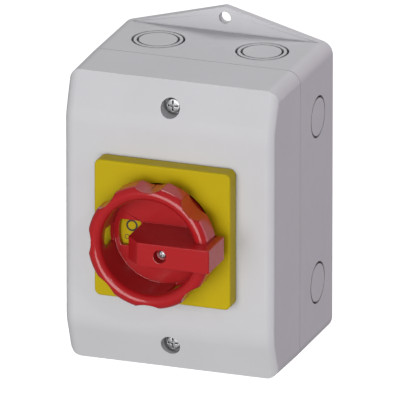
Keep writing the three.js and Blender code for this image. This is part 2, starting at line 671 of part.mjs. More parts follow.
/** The knob's cup and grip, turned about Y, from the back face round to the floor. */
function knobCup() {
  const crest = KNOB_GRIP_R - KNOB_CUP_R;
  const rim = [];
  const steps = 4;
  for (let i = 0; i <= steps; i += 1) {
    const angle = Math.PI * i / steps;
    const middle = (KNOB_GRIP_R + KNOB_CUP_R) / 2;
    rim.push([middle + crest / 2 * Math.cos(angle), CREST_D - crest / 2 * (1 - Math.sin(angle))]);
  }
  const profile = [
    [0, KNOB_BACK_D], [KNOB_NECK_R, KNOB_BACK_D], [KNOB_NECK_R, GRIP_D],
    [KNOB_GRIP_R - CLEAR, GRIP_D], [KNOB_GRIP_R, GRIP_D + CLEAR],
    ...rim, [KNOB_CUP_R, KNOB_FLOOR_D], [0, KNOB_FLOOR_D],
  ];
  return solid(turned(profile.map(([radius, depth]) => [radius, out(depth)]), 48));
}

/** Extrudes an outline drawn in X and outward depth along Z, centred on the knob's axis. */
function extrudeZ(points, width) {
  const shape = new THREE.Shape(points.map(([x, depth]) => new THREE.Vector2(x, depth)));
  const geometry = new THREE.ExtrudeGeometry(shape, { depth: width, bevelEnabled: false });
  const toWorld = new THREE.Matrix4().makeBasis(
    new THREE.Vector3(1, 0, 0), new THREE.Vector3(0, -1, 0), new THREE.Vector3(0, 0, -1));
  return solid(geometry.applyMatrix4(toWorld).translate(0, FRONT_Y, width / 2));
}

function knobBar() {
  const root = KNOB_FLOOR_D - KNOB_FLOOR / 2;
  const innerX = (KNOB_CUP_R + KNOB_NECK_R) / 2;
  return extrudeZ([
    [BAR_HEEL_X, root], [BAR_HEEL_X, BAR_D - BAR_CHAMFER_D], [BAR_HEEL_X + BAR_CHAMFER_X, BAR_D],
    [BAR_TIP_X, BAR_D], [BAR_TIP_X, BAR_D - BAR_TIP_DROP], [innerX, BAR_D - BAR_TIP_DROP],
    [innerX, root],
  ], BAR_WIDTH);
}

function knobWindow() {
  const disc = cylinder(
    'y', WINDOW_OUTER_R, out(KNOB_FLOOR_D + OVERSHOOT), out(KNOB_BACK_D - OVERSHOOT), [0, 0], 48);
  const strip = box(
    -WINDOW_OUTER_R - OVERSHOOT, -WINDOW_INNER_X, out(KNOB_FLOOR_D + OVERSHOOT),
    out(KNOB_BACK_D - OVERSHOOT), WINDOW_BOTTOM, WINDOW_TOP);
  return disc.intersect(strip);
}

function knob() {
  const tools = [knobWindow()];
  for (let i = 0; i < SCALLOPS; i += 1) {
    const angle = 2 * Math.PI * i / SCALLOPS;
    const distance = KNOB_GRIP_R - SCALLOP_DEPTH + SCALLOP_R;
    tools.push(cylinder(
      'y', SCALLOP_R, out(CREST_D + OVERSHOOT), out(GRIP_D - OVERSHOOT),
      [distance * Math.cos(angle), distance * Math.sin(angle)], 32));
  }
  const slotFloor = KNOB_FLOOR_D + OVERSHOOT;
  for (let i = 0; i < PADLOCK_SLOTS; i += 1) {
    const turn = 60 + 360 * i / PADLOCK_SLOTS;
    const slot = box(
      KNOB_CUP_R - OVERSHOOT, KNOB_NECK_R + OVERSHOOT, out(slotFloor), out(slotFloor + PADLOCK_SLOT_HEIGHT),
      -PADLOCK_SLOT_WIDTH / 2, PADLOCK_SLOT_WIDTH / 2);
    tools.push(slot.rotate([0, turn, 0]));
  }
  const hubRoom = CLEAR;
  const centre = [KNOB_SCREW_X, 0];
  let body = cut(knobCup(), ...tools).add(knobBar());
  body = cut(
    body,
    box(
      -HUB_BLOCK_HEEL - hubRoom, HUB_BLOCK_TOE + hubRoom, out(KNOB_BACK_D - OVERSHOOT),
      out(HUB_TOP_D + hubRoom), -HUB_BLOCK_WIDTH / 2 - hubRoom, HUB_BLOCK_WIDTH / 2 + hubRoom),
    cylinder('y', KNOB_SCREW_WELL_R, out(BAR_D + OVERSHOOT), out(KNOB_SCREW_SEAT_D), centre),
    cylinder('y', KNOB_SCREW_SHANK_R + CLEAR, out(BAR_D), out(HUB_TOP_D), centre, 16));
  return body;
}

function knobScrew() {
  return screw({
    headR: KNOB_SCREW_HEAD_R, headH: KNOB_SCREW_HEAD_H, shankR: KNOB_SCREW_SHANK_R,
    length: KNOB_SCREW_LENGTH, faceY: out(KNOB_SCREW_FACE_D), x: KNOB_SCREW_X, cross: true,
  });
}

/** The knob's insert: a block inside the bar and a stem that runs through plate and cover. */
function knobHub() {
  const stemFrontD = KNOB_BACK_D - CLEAR;
  const socket = SHAFT_SIZE / 2 + CLEAR;
  const block = box(
    -HUB_BLOCK_HEEL, HUB_BLOCK_TOE, out(KNOB_BACK_D), out(HUB_TOP_D),
    -HUB_BLOCK_WIDTH / 2, HUB_BLOCK_WIDTH / 2);
  const neck = cylinder('y', STEM_R, out(KNOB_FLOOR_D), out(RECESS_D - OVERSHOOT)).intersect(box(
    -STEM_R, STEM_R, out(KNOB_FLOOR_D), out(RECESS_D - OVERSHOOT),
    -HUB_BLOCK_WIDTH / 2, HUB_BLOCK_WIDTH / 2));
  const body = add(block, neck, cylinder('y', STEM_R, out(stemFrontD), STEM_END_Y));
  const grooveEnd = RING_FRONT_Y + RING_THICKNESS + CLEAR;
  return cut(
    body,
    ring(STEM_GROOVE_R, STEM_R + OVERSHOOT, RING_FRONT_Y - CLEAR, grooveEnd),
    box(-socket, socket, FRONT_Y, STEM_END_Y + OVERSHOOT, -socket, socket),
    cylinder(
      'y', KNOB_SCREW_SHANK_R + CLEAR, out(HUB_TOP_D + OVERSHOOT),
      out(KNOB_SCREW_FACE_D - KNOB_SCREW_LENGTH - OVERSHOOT), [KNOB_SCREW_X, 0], 16));
}

function shaftSeal() {
  const frontY = BOSS_END_Y - SEAL_POCKET_DEPTH + CLEAR;
  return ring(STEM_R + CLEAR, SEAL_POCKET_R - CLEAR, frontY, frontY + SEAL_THICKNESS);
}

/** The open ring that keeps the stem in the cover. */
function retainingRing() {
  const half = THREE.MathUtils.degToRad(RING_OPENING / 2);
  const innerR = STEM_GROOVE_R + CLEAR;
  const shape = new THREE.Shape();
  shape.absarc(0, 0, RING_R, half, 2 * Math.PI - half);
  shape.absarc(0, 0, innerR, 2 * Math.PI - half, half, true);
  shape.closePath();
  return solid(extrudeY(shape, RING_FRONT_Y, RING_FRONT_Y + RING_THICKNESS, 8));
}

// ---------- rotor ----------

function shaft() {
  const half = SHAFT_SIZE / 2;
  return box(-half, half, FRONT_Y + CLEAR, ROTOR_HUB_REAR_Y - CLEAR, -half, half);
}

/** Share of the stroke that the ramp gives at an angle, in degrees, from its follower's place. */
function rampShare(angle) {
  const turn = ((angle % 180) + 180) % 180;
  if (turn <= RAMP_SWEEP) {
    return turn / RAMP_SWEEP;
  }
  return turn <= RAMP_SWEEP + RAMP_DWELL ? 1 : 0;
}

/** The cam ring: its rear face rises in two equal ramps, one for each follower. */
function camRing() {
  const geometry = turned([
    [RAMP_INNER_R - CLEAR, ROTOR_FRONT_Y], [ROTOR_R, ROTOR_FRONT_Y],
    [ROTOR_R, RAMP_LOW_Y], [RAMP_INNER_R - CLEAR, RAMP_LOW_Y],
  ], RAMP_SECTORS);
  const position = geometry.attributes.position;
  for (let i = 0; i < position.count; i += 1) {
    if (position.getY(i) > RAMP_LOW_Y - CLEAR) {
      const angle = THREE.MathUtils.radToDeg(Math.atan2(position.getZ(i), position.getX(i)));
      const share = rampShare(Math.round(angle * 10) / 10);
      position.setY(i, RAMP_LOW_Y + TRAVEL * share);
    }
  }
  return solid(geometry);
}

function rotorCam() {
  const socket = SHAFT_SIZE / 2 + CLEAR;
  let body = add(
    camRing(),
    cylinder('y', JOURNAL_R, CAP_FRONT_Y - JOURNAL_OUT, ROTOR_HUB_REAR_Y),
    cylinder('y', RAMP_INNER_R, ROTOR_FRONT_Y, RAMP_LOW_Y));
  const tools = [box(
    -socket, socket, CAP_FRONT_Y - JOURNAL_OUT - OVERSHOOT, ROTOR_HUB_REAR_Y + OVERSHOOT, -socket, socket)];
  for (let i = 0; i < 4; i += 1) {
    const angle = Math.PI / 2 * i;
    const reach = ROTOR_R - NOTCH_DEPTH + BALL_R;
    const notch = new THREE.SphereGeometry(BALL_R, 8, 6);
    tools.push(solid(notch.translate(reach * Math.cos(angle), DETENT_Y, reach * Math.sin(angle))));
  }
  return cut(body, ...tools);
}

// ---------- contact carrier ----------

function contactCarrier() {
  let body = box(
    -CARRIER_HALF_X, CARRIER_HALF_X, CARRIER_FRONT_Y, CARRIER_BACK_Y, -CARRIER_HEIGHT / 2, CARRIER_HEIGHT / 2);
  const barFront = BRIDGE_BACK_Y + CLEAR;
  const innerX = BRIDGE_WIDTH / 2 + CLEAR;
  for (let pole = 0; pole < POLES; pole += 1) {
    const x = poleX(pole);
    const legX = innerX + LEG_THICKNESS;
    for (const [, side] of SIDES) {
      body = body.add(box(
        x + side * innerX, x + side * legX, CARRIER_FRONT_Y + CLEAR, barFront + CROSSBAR,
        -LEG_WIDTH / 2, LEG_WIDTH / 2));
    }
    body = body.add(box(
      x - legX, x + legX, barFront, barFront + CROSSBAR, -LEG_WIDTH / 2, LEG_WIDTH / 2));
  }
  const followerX = (RAMP_INNER_R + ROTOR_R) / 2;
  const half = (ROTOR_R - RAMP_INNER_R) / 2 - 2 * CLEAR;
  for (const [, side] of SIDES) {
    body = body.add(box(
      side * (followerX - half), side * (followerX + half), FOLLOWER_TIP_Y, CARRIER_BACK_Y - CLEAR,
      -FOLLOWER_WIDTH / 2, FOLLOWER_WIDTH / 2));
  }
  return body;
}

/** A moving contact: a bar with a raised pad at each end. */
function contactBridge(x) {
  const halfX = BRIDGE_WIDTH / 2;
  const halfZ = BRIDGE_LENGTH / 2;
  const waist = (BRIDGE_BACK_Y + BRIDGE_FRONT_Y) / 2;
  const middle = CONTACT_INNER_Z - 2 * CLEAR;
  const body = box(x - halfX, x + halfX, BRIDGE_FRONT_Y, BRIDGE_BACK_Y, -halfZ, halfZ);
  const relief = waist + BRIDGE_THICKNESS * 0.2;
  return cut(
    body,
    box(x - halfX - 1, x + halfX + 1, relief, BRIDGE_BACK_Y + 1, -middle, -LEG_WIDTH / 2 - CLEAR),
    box(x - halfX - 1, x + halfX + 1, relief, BRIDGE_BACK_Y + 1, LEG_WIDTH / 2 + CLEAR, middle));
}

function contactSpring(x) {
  const body = spring(
    CONTACT_SPRING_R, SPRING_WIRE_R, BRIDGE_FRONT_Y - CLEAR, CARRIER_BACK_Y + CLEAR, 3);
  return body.translate([x, 0, 0]);
}

// ---------- switch block ----------

function switchBase() {
  const halfZ = BLOCK_HEIGHT / 2;
  let body = box(-BLOCK_HALF_X, BLOCK_HALF_X, BLOCK_BACK_Y, BLOCK_FRONT_Y, -halfZ, halfZ);
  body = body.add(box(
    -BLOCK_HALF_X - EAR_LENGTH, BLOCK_HALF_X + EAR_LENGTH, BLOCK_BACK_Y, EAR_FRONT_Y,
    -EAR_WIDTH / 2, EAR_WIDTH / 2));
  const seatY = CONTACT_BACK_Y + CLEAR;
  const floorY = BLOCK_BACK_Y - BLOCK_FLOOR;
  const wellZ = CLAMP_Z - CLAMP_LENGTH / 2 - CLEAR;
  const strokeRoom = CONTACT_INNER_Z - 2 * CLEAR;
  const halfX = CHANNEL_WIDTH / 2;
  const tools = [];
  for (let pole = 0; pole < POLES; pole += 1) {
    const x = poleX(pole);
    tools.push(box(
      x - halfX, x + halfX, seatY, BLOCK_FRONT_Y - OVERSHOOT, -halfZ - OVERSHOOT, halfZ + OVERSHOOT));
    tools.push(box(
      x - halfX, x + halfX, seatY + TRAVEL, BLOCK_FRONT_Y - OVERSHOOT, -strokeRoom, strokeRoom));
    for (const [, end] of ENDS) {
      tools.push(box(
        x - halfX, x + halfX, floorY, BLOCK_FRONT_Y - OVERSHOOT, end * wellZ, end * (halfZ + OVERSHOOT)));
    }
  }
  for (const [, side] of SIDES) {
    tools.push(cylinder(
      'y', CAP_SCREW_R + CLEAR, EAR_FRONT_Y - OVERSHOOT, BLOCK_BACK_Y + OVERSHOOT, [side * EAR_X, 0], 12));
    tools.push(cylinder(
      'y', CAP_SCREW_R + CLEAR, BLOCK_FRONT_Y - OVERSHOOT, BLOCK_FRONT_Y + CAP_SCREW_BITE + OVERSHOOT,
      [side * POLE_PITCH / 2, side * CAP_SCREW_Z], 12));
  }
  return cut(body, ...tools);
}

function switchCap() {
  const halfZ = CAP_HEIGHT / 2;
  const roomX = CARRIER_HALF_X + CLEAR;
  const roomZ = CARRIER_HEIGHT / 2 + CLEAR;
  const body = box(-BLOCK_HALF_X, BLOCK_HALF_X, CAP_BACK_Y, CAP_FRONT_Y, -halfZ, halfZ);
  const tools = [
    box(-roomX, roomX, CAP_CAVITY_Y, CAP_BACK_Y + OVERSHOOT, -roomZ, roomZ),
    cylinder('y', ROTOR_R + CLEAR, ROTOR_FRONT_Y - CLEAR, CAP_BACK_Y, [0, 0], 36),
    cylinder('y', JOURNAL_R + CLEAR, CAP_FRONT_Y - OVERSHOOT, ROTOR_FRONT_Y),
  ];
  for (const [, side] of SIDES) {
    tools.push(cylinder(
      'x', DETENT_BORE_R, side * (ROTOR_R - OVERSHOOT), side * (BLOCK_HALF_X + OVERSHOOT), [DETENT_Y, 0], 16));
    tools.push(cylinder(
      'y', CAP_SCREW_R + CLEAR, CAP_FRONT_Y - OVERSHOOT, CAP_BACK_Y + OVERSHOOT,
      [side * POLE_PITCH / 2, side * CAP_SCREW_Z], 12));
  }
  return cut(body, ...tools);
}

function capScrew(side) {
  const faceY = CAP_FRONT_Y - CLEAR - 2;
  return screw({
    headR: CAP_SCREW_HEAD_R, headH: 2, shankR: CAP_SCREW_R, faceY,
    length: BLOCK_FRONT_Y + CAP_SCREW_BITE - faceY, x: side * POLE_PITCH / 2, z: side * CAP_SCREW_Z,
  });
}

function mountScrew(side) {
  const faceY = EAR_FRONT_Y - CLEAR - 2;
  return screw({
    headR: CAP_SCREW_HEAD_R, headH: 2, shankR: CAP_SCREW_R, faceY,
    length: BLOCK_BACK_Y + MOUNT_POST - faceY, x: side * EAR_X,
  });
}

function detentBall(side) {
  return solid(new THREE.SphereGeometry(BALL_R, 8, 6).translate(side * BALL_X, DETENT_Y, 0));
}

function detentSpring(side) {
  const body = spring(
    DETENT_SPRING_R, DETENT_SPRING_WIRE_R, DETENT_SPRING_X, DETENT_SPRING_X + DETENT_SPRING_LENGTH, 3);
  return body.rotate([0, 0, -90 * side]).translate([0, DETENT_Y, 0]);
}

function detentPlug(side) {
  const faceX = side * BLOCK_HALF_X;
  const body = cylinder('x', DETENT_BORE_R - CLEAR, side * PLUG_X, faceX, [DETENT_Y, 0], 12);
  const slot = 0.35;
  return body.subtract(box(
    faceX - side, faceX + side, DETENT_Y - slot, DETENT_Y + slot, -DETENT_BORE_R, DETENT_BORE_R));
}

// ---------- terminals ----------

/** A fixed contact strip with its contact end near the middle of the block. */
function fixedContact(x, end) {
  const half = CONTACT_WIDTH / 2;
  return box(
    x - half, x + half, CONTACT_FACE_Y, CONTACT_BACK_Y, end * CONTACT_INNER_Z, end * CONTACT_OUTER_Z);
}

const CLAMP_FRONT_Y = CONTACT_FACE_Y - CLAMP_SCREW_ROOM - CLAMP_WALL;

/** The cage around the strip's end; its screw pulls the wire against the strip. */
function terminalClamp(x, end) {
  const half = CLAMP_WIDTH / 2;
  const backY = CONTACT_BACK_Y + CLAMP_WIRE_ROOM + CLAMP_WALL;
  const z = end * CLAMP_Z;
  const body = box(
    x - half, x + half, CLAMP_FRONT_Y, backY, z - CLAMP_LENGTH / 2, z + CLAMP_LENGTH / 2);
  return cut(
    body,
    box(
      x - half + CLAMP_WALL, x + half - CLAMP_WALL, CLAMP_FRONT_Y + CLAMP_WALL, backY - CLAMP_WALL,
      z - CLAMP_LENGTH, z + CLAMP_LENGTH),
    cylinder(
      'y', CLAMP_SCREW_R + CLEAR, CLAMP_FRONT_Y - OVERSHOOT, CONTACT_FACE_Y - CLEAR, [x, z], 12));
}

function terminalScrew(x, end) {
  const faceY = CLAMP_FRONT_Y - CLEAR - CLAMP_SCREW_HEAD_H;
  return screw({
    headR: CLAMP_SCREW_HEAD_R, headH: CLAMP_SCREW_HEAD_H, shankR: CLAMP_SCREW_R, faceY,
    length: CONTACT_FACE_Y - CLEAR - faceY, x, z: end * CLAMP_Z,
  });
}

/** The earth or neutral terminal beside the wiring space. */
function spareTerminal(side) {
  const half = SPARE_TERMINAL_SIZE / 2;
  const frontY = SPARE_BACK_Y - SPARE_TERMINAL_SIZE;
  const middleY = SPARE_BACK_Y - half;
  const body = box(
    side * SPARE_X - half, side * SPARE_X + half, frontY, SPARE_BACK_Y,
    SPARE_Z - SPARE_TERMINAL_LENGTH / 2, SPARE_Z + SPARE_TERMINAL_LENGTH / 2);
  return cut(
    body,
    cylinder(
      'z', SPARE_WIRE_R, SPARE_Z - SPARE_TERMINAL_LENGTH, SPARE_Z + SPARE_TERMINAL_LENGTH,
      [side * SPARE_X, middleY], 16),
    cylinder(
      'y', CLAMP_SCREW_R + CLEAR, frontY - OVERSHOOT, middleY, [side * SPARE_X, SPARE_Z], 12));
}

function spareScrew(side) {
  const faceY = SPARE_BACK_Y - SPARE_TERMINAL_SIZE - CLEAR - CLAMP_SCREW_HEAD_H;
  return screw({
    headR: CLAMP_SCREW_HEAD_R, headH: CLAMP_SCREW_HEAD_H, shankR: CLAMP_SCREW_R, faceY,
    length: CLAMP_SCREW_HEAD_H + SPARE_TERMINAL_SIZE / 2, x: side * SPARE_X, z: SPARE_Z,
  });
}

// ---------- assembly ----------

place('rear_housing', rearHousing(), GREY);
place('front_cover', frontCover(), GREY);
place('cover_gasket', coverGasket(), RUBBER);
for (const [name, end] of ENDS) {
  place(`cover_screw_${name}`, coverScrew(end), STEEL);
}
place('front_plate', frontPlate(), YELLOW);
place('plate_gasket', plateGasket(), RUBBER);
for (const [rowName, end] of ENDS) {
  for (const [sideName, side] of SIDES) {
    place(`plate_screw_${rowName}_${sideName}`, plateScrew(side * PLATE_SCREW_XZ, end * PLATE_SCREW_XZ), STEEL);
  }
}
place('knob', knob(), RED);
place('knob_hub', knobHub(), BLACK);
place('knob_screw', knobScrew(), STEEL);
place('shaft_seal', shaftSeal(), RUBBER);
place('knob_retaining_ring', retainingRing(), STEEL);
place('shaft', shaft(), STEEL);
place('rotor_cam', rotorCam(), CREAM);
place('contact_carrier', contactCarrier(), CREAM);
place('switch_base', switchBase(), BLACK);
place('switch_cap', switchCap(), BLACK);
for (let pole = 0; pole < POLES; pole += 1) {
  const x = poleX(pole);
  place(`contact_bridge_${pole + 1}`, contactBridge(x), COPPER);
  place(`contact_spring_${pole + 1}`, contactSpring(x), STEEL);
  for (const [name, end] of [['line', 1], ['load', -1]]) {
    place(`fixed_contact_${name}_${pole + 1}`, fixedContact(x, end), COPPER);
    place(`terminal_clamp_${name}_${pole + 1}`, terminalClamp(x, end), STEEL);
    place(`terminal_screw_${name}_${pole + 1}`, terminalScrew(x, end), STEEL);
  }
}
for (const [name, side] of SIDES) {
  place(`cap_screw_${name}`, capScrew(side), STEEL);
  place(`switch_mount_screw_${name}`, mountScrew(side), STEEL);
  place(`detent_ball_${name}`, detentBall(side), STEEL);
  place(`detent_spring_${name}`, detentSpring(side), STEEL);
  place(`detent_plug_${name}`, detentPlug(side), BRASS);
}
for (const [name, side] of [['earth', -1], ['neutral', 1]]) {
  place(`${name}_terminal`, spareTerminal(side), BRASS);
  place(`${name}_screw`, spareScrew(side), STEEL);
}

export default group;
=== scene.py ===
import json
import math

import bmesh
import bpy
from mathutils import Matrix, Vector

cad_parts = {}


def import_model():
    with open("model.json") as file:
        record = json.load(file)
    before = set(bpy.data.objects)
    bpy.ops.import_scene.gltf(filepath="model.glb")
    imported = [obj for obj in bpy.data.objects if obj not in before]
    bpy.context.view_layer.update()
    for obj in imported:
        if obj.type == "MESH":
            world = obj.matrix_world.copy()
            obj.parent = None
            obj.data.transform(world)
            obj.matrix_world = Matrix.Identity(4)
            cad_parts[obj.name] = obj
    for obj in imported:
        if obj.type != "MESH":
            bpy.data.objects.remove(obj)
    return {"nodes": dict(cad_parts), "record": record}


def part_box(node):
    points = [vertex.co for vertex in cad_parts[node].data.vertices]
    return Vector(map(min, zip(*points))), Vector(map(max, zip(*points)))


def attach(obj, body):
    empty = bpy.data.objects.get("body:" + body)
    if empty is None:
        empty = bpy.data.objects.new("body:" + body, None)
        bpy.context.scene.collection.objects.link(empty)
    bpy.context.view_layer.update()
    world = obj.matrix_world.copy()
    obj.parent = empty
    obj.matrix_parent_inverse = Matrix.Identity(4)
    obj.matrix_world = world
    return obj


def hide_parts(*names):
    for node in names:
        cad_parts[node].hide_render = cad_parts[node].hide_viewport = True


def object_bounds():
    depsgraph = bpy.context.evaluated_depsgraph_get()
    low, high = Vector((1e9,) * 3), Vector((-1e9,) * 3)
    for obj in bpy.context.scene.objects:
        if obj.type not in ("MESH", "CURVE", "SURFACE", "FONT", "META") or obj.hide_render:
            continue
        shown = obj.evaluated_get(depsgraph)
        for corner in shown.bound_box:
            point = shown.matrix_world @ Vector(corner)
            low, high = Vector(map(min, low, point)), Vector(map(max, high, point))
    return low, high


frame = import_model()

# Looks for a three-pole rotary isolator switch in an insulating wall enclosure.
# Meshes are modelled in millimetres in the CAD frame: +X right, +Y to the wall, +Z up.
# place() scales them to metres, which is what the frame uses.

CAD_LOW, CAD_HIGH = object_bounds()
MM = 0.001
CLEAR = 0.3                 # the CAD's gap between neighbouring pieces
OVERSHOOT = 1.0             # how far a cutting tool runs past the face it cuts
ARC_STEPS = 10              # steps in the rounding of an outline's corner
TURN_SEGMENTS = 96          # steps round a turned piece
SMALL_HOLE_SEGMENTS = 32
BEVEL_SEGMENTS = 2
SMOOTH_ANGLE = math.radians(32)
FLAT_ANGLE = math.radians(0.1)
SIDES = (("left", -1), ("right", 1))
ENDS = (("top", 1), ("bottom", -1))


def node_box(node):
    """Lowest and highest corner of a CAD node at rest, in millimetres."""
    low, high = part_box(node)
    return low / MM, high / MM


# ---------- sizes, in millimetres ----------

HOUSING_LOW, HOUSING_HIGH = node_box("rear_housing")
COVER_LOW, COVER_HIGH = node_box("front_cover")
PLATE_LOW, PLATE_HIGH = node_box("front_plate")
KNOB_LOW, KNOB_HIGH = node_box("knob")

WIDTH = COVER_HIGH.x - COVER_LOW.x
HEIGHT = COVER_HIGH.z - COVER_LOW.z
FRONT_Y = COVER_LOW.y
COVER_REAR_Y = COVER_HIGH.y
PART_Y = COVER_REAR_Y + CLEAR
CORNER_R = 6.5
WALL = 3.2
BACK_WALL = 3.5
FRONT_WALL = 3.0
DRAFT = 0.7
TILT_HEIGHT = 20.7
TILT_SETBACK = 7.6
TILT_SLOPE = TILT_SETBACK / TILT_HEIGHT
TILT_START_Z = HEIGHT / 2 - TILT_HEIGHT
FOLD_R = 25.0
SIDE_EDGE_R = 5.5
SIDE_EDGE_STEPS = 10
COVER_CORNER_STEPS = 16
TONGUE_WIDTH = 1.2
TONGUE_INSET = (WALL - TONGUE_WIDTH) / 2
TONGUE_TIP_Y = HOUSING_LOW.y
# painted shade: place of a black strip set back in the gap between cover and housing
SHADOW_STRIP_SETBACK = 0.1
SHADOW_STRIP_PLAY = 0.02

LUG_THICKNESS = 4.3
LUG_TIP_R = 3.5
LUG_HOLE_R = 2.9
LUG_HOLE_OUT = 7.0
KNOCKOUT_X = 25.9
KNOCKOUT_TOP_Y = -24.7
KNOCKOUT_Z = 41.4
KNOCKOUT_SIDE_Y = -21.0
M20_RING_R = 10.25
M25_RING_R = 12.75
GROOVE_WIDTH = 1.1
GROOVE_DEPTH = 2.2
POST_ROOT_Y = OVERSHOOT - BACK_WALL     # posts start inside the back wall
MOUNT_POST_R = 4.0
MOUNT_HOLE_R = 1.55
MOUNT_HOLE_END_Y = -0.8
TERMINAL_SEAT_CORNER_R = 0.6

SCREW_WELL_R = 4.75
SCREW_COLUMN_R = 7.0
SCREW_POST_R = 5.0
SCREW_SHANK_HOLE_R = 2.3
SCREW_SEAT = 2.4
COVER_SCREW_HEAD_H = 3.0
COVER_SCREW_SHANK_R = 2.0
BOSS_R = 12.0
BOSS_LENGTH = 8.0
STEM_HOLE_R = 6.8
SEAL_POCKET_R = 9.2
SEAL_POCKET_DEPTH = 4.0

PLATE_CORNER_R = 3.0
PLATE_EDGE_R = 1.0
PLATE_RIM = 2.5
PLATE_LEDGE = 3.0
PLATE_GASKET_STEP = 1.5
PLATE_RECESS = 1.8
PLATE_WEB = 2.2
PLATE_RECESS_R = 25.6
PLATE_RECESS_SEGMENTS = 192
PLATE_SCREW_INSET = 9.75
PLATE_SCREW_HOLE_R = 1.6
PLATE_BOSS_R = 3.4

KNOB_NECK_R = 25.0
KNOB_CUP_R = 23.4
KNOB_GRIP_R = KNOB_HIGH.z
KNOB_FLOOR = 2.7
KNOB_NECK_LENGTH = 9.7
KNOB_GRIP_HEIGHT = 13.0
KNOB_SEGMENTS = 288
KNOB_BACK_Y = KNOB_HIGH.y
KNOB_FLOOR_Y = KNOB_BACK_Y - KNOB_FLOOR
GRIP_Y = KNOB_BACK_Y - KNOB_NECK_LENGTH
CREST_Y = GRIP_Y - KNOB_GRIP_HEIGHT
CREST_STEPS = 24
GRIP_LIP_R = 1.0
GRIP_LIP_STEPS = 3
BAR_WIDTH = 11.5
BAR_HEEL_X = -9.0
BAR_CHAMFER_X = 7.1
BAR_CHAMFER_Y = 7.6
BAR_TIP_DROP = 21.8
BAR_TIP_X = KNOB_HIGH.x
BAR_Y = KNOB_LOW.y
BAR_TOP_R = 1.2
BAR_TIP_TOP_R = 0.9
BAR_TIP_BACK_R = 0.8
BAR_ARC_STEPS = 5
BAR_EDGE_R = 0.5
BAR_EDGE_STEPS = 3
SCALLOPS = 8
SCALLOP_R = 13.0
SCALLOP_DEPTH = 2.4
SCALLOP_SEGMENTS = 160
PADLOCK_SLOTS = 3
PADLOCK_FIRST_ANGLE = 60
PADLOCK_SLOT_WIDTH = 9.5
PADLOCK_SLOT_HEIGHT = 11.8
PADLOCK_SLOT_CORNER_R = 0.6
PADLOCK_SLOT_STEPS = 4
WINDOW_INNER_X = 10.0
WINDOW_OUTER_R = 21.0
WINDOW_TOP = 6.0
WINDOW_BOTTOM = -6.8
WINDOW_CORNER_R = 0.6
HUB_LOW_X = -6.5
HUB_HIGH_X = 13.7
HUB_WIDTH = 7.4
KNOB_WELL_R = 3.15
KNOB_SCREW_HEAD_H = 1.6
KNOB_SCREW_SHANK_R = 1.2
KNOB_SCREW_HOLE_SEGMENTS = 48


# ---------- outlines ----------

def fillet_outline(corners, steps=ARC_STEPS):
    """A closed outline through (u, v, radius) corners, each rounded by its own radius."""
    outline = []
    for i, (u, v, radius) in enumerate(corners):
        here = Vector((u, v))
        if radius == 0:
            outline.append(here)
            continue
        before = (Vector(corners[i - 1][:2]) - here).normalized()
        after = (Vector(corners[(i + 1) % len(corners)][:2]) - here).normalized()
        half = before.angle(after) / 2
        centre = here + (before + after).normalized() * (radius / math.sin(half))
        start = here + before * (radius / math.tan(half)) - centre
        end = here + after * (radius / math.tan(half)) - centre
        first = math.atan2(start.y, start.x)
        turn = math.remainder(math.atan2(end.y, end.x) - first, 2 * math.pi)
        for step in range(steps + 1):
            angle = first + turn * step / steps
            outline.append(centre + radius * Vector((math.cos(angle), math.sin(angle))))
    return outline


def round_rect(width, height, radius, steps=ARC_STEPS):
    x, z = width / 2, height / 2
    return fillet_outline([(x, -z, radius), (x, z, radius), (-x, z, radius), (-x, -z, radius)], steps)


def inset_outline(outline, distance):
    """Moves every edge of an anticlockwise outline inwards by a distance."""
    moved = []
    for i, here in enumerate(outline):
        before = (here - outline[i - 1]).normalized()
        after = (outline[(i + 1) % len(outline)] - here).normalized()
        in_before, in_after = before.orthogonal(), after.orthogonal()
        middle = (in_before + in_after).normalized()
        moved.append(here + middle * (distance / middle.dot(in_before)))
    return moved


def rounded_levels(low, high, low_r, high_r, steps=6):
    """(inset, height) levels of a prism whose two ends are rounded by their own radius."""
    levels = []
    for step in range(steps + 1):
        angle = math.pi / 2 * step / steps
        levels.append((low_r * (1 - math.sin(angle)), low + low_r * (1 - math.cos(angle))))
    for step in range(steps + 1):
        angle = math.pi / 2 * step / steps
        levels.append((high_r * (1 - math.cos(angle)), high - high_r * (1 - math.sin(angle))))
    return [level for i, level in enumerate(levels) if level not in levels[:i]]


# ---------- solids ----------

AXES = {
    "x": lambda u, v, w: (w, u, v),
    "y": lambda u, v, w: (u, w, v),
    "z": lambda u, v, w: (u, v, w),
}


def solid(mesh):
    """Turns a closed bmesh into an object that booleans can use."""
    bmesh.ops.recalc_face_normals(mesh, faces=mesh.faces)
    data = bpy.data.meshes.new("solid")
    mesh.to_mesh(data)
    mesh.free()
    made = bpy.data.objects.new("solid", data)
    bpy.context.collection.objects.link(made)
    return made


def loft(rings, closed=False):
    """Joins rings of points into a solid: single points close its ends, or it closes on itself."""
    mesh = bmesh.new()
    rows = [[mesh.verts.new(point) for point in ring] for ring in rings]
    pairs = list(zip(rows, rows[1:]))
    if closed:
        pairs.append((rows[-1], rows[0]))
    for low, high in pairs:
        count = max(len(low), len(high))
        for i in range(count):
            j = (i + 1) % count
            if len(low) == 1:
                mesh.faces.new((low[0], high[j], high[i]))
            elif len(high) == 1:
                mesh.faces.new((low[i], low[j], high[0]))
            else:
                mesh.faces.new((low[i], low[j], high[j], high[i]))
    if not closed:
        for row in (rows[0], rows[-1]):
            if len(row) > 1:
                mesh.faces.new(row)
    return solid(mesh)


def prism(outline, levels, axis="y"):
    """A solid lofted through (inset, height) levels of an outline, along an axis."""
    return loft([
        [AXES[axis](u, v, height) for u, v in inset_outline(outline, inset)]
        for inset, height in levels])


def block(x0, x1, y0, y1, z0, z1, radius=0.0):
    """A box between two corners, its four edges along Y rounded."""
    outline = fillet_outline([(x1, z0, radius), (x1, z1, radius), (x0, z1, radius), (x0, z0, radius)])
    return prism(outline, [(0, y0), (0, y1)])


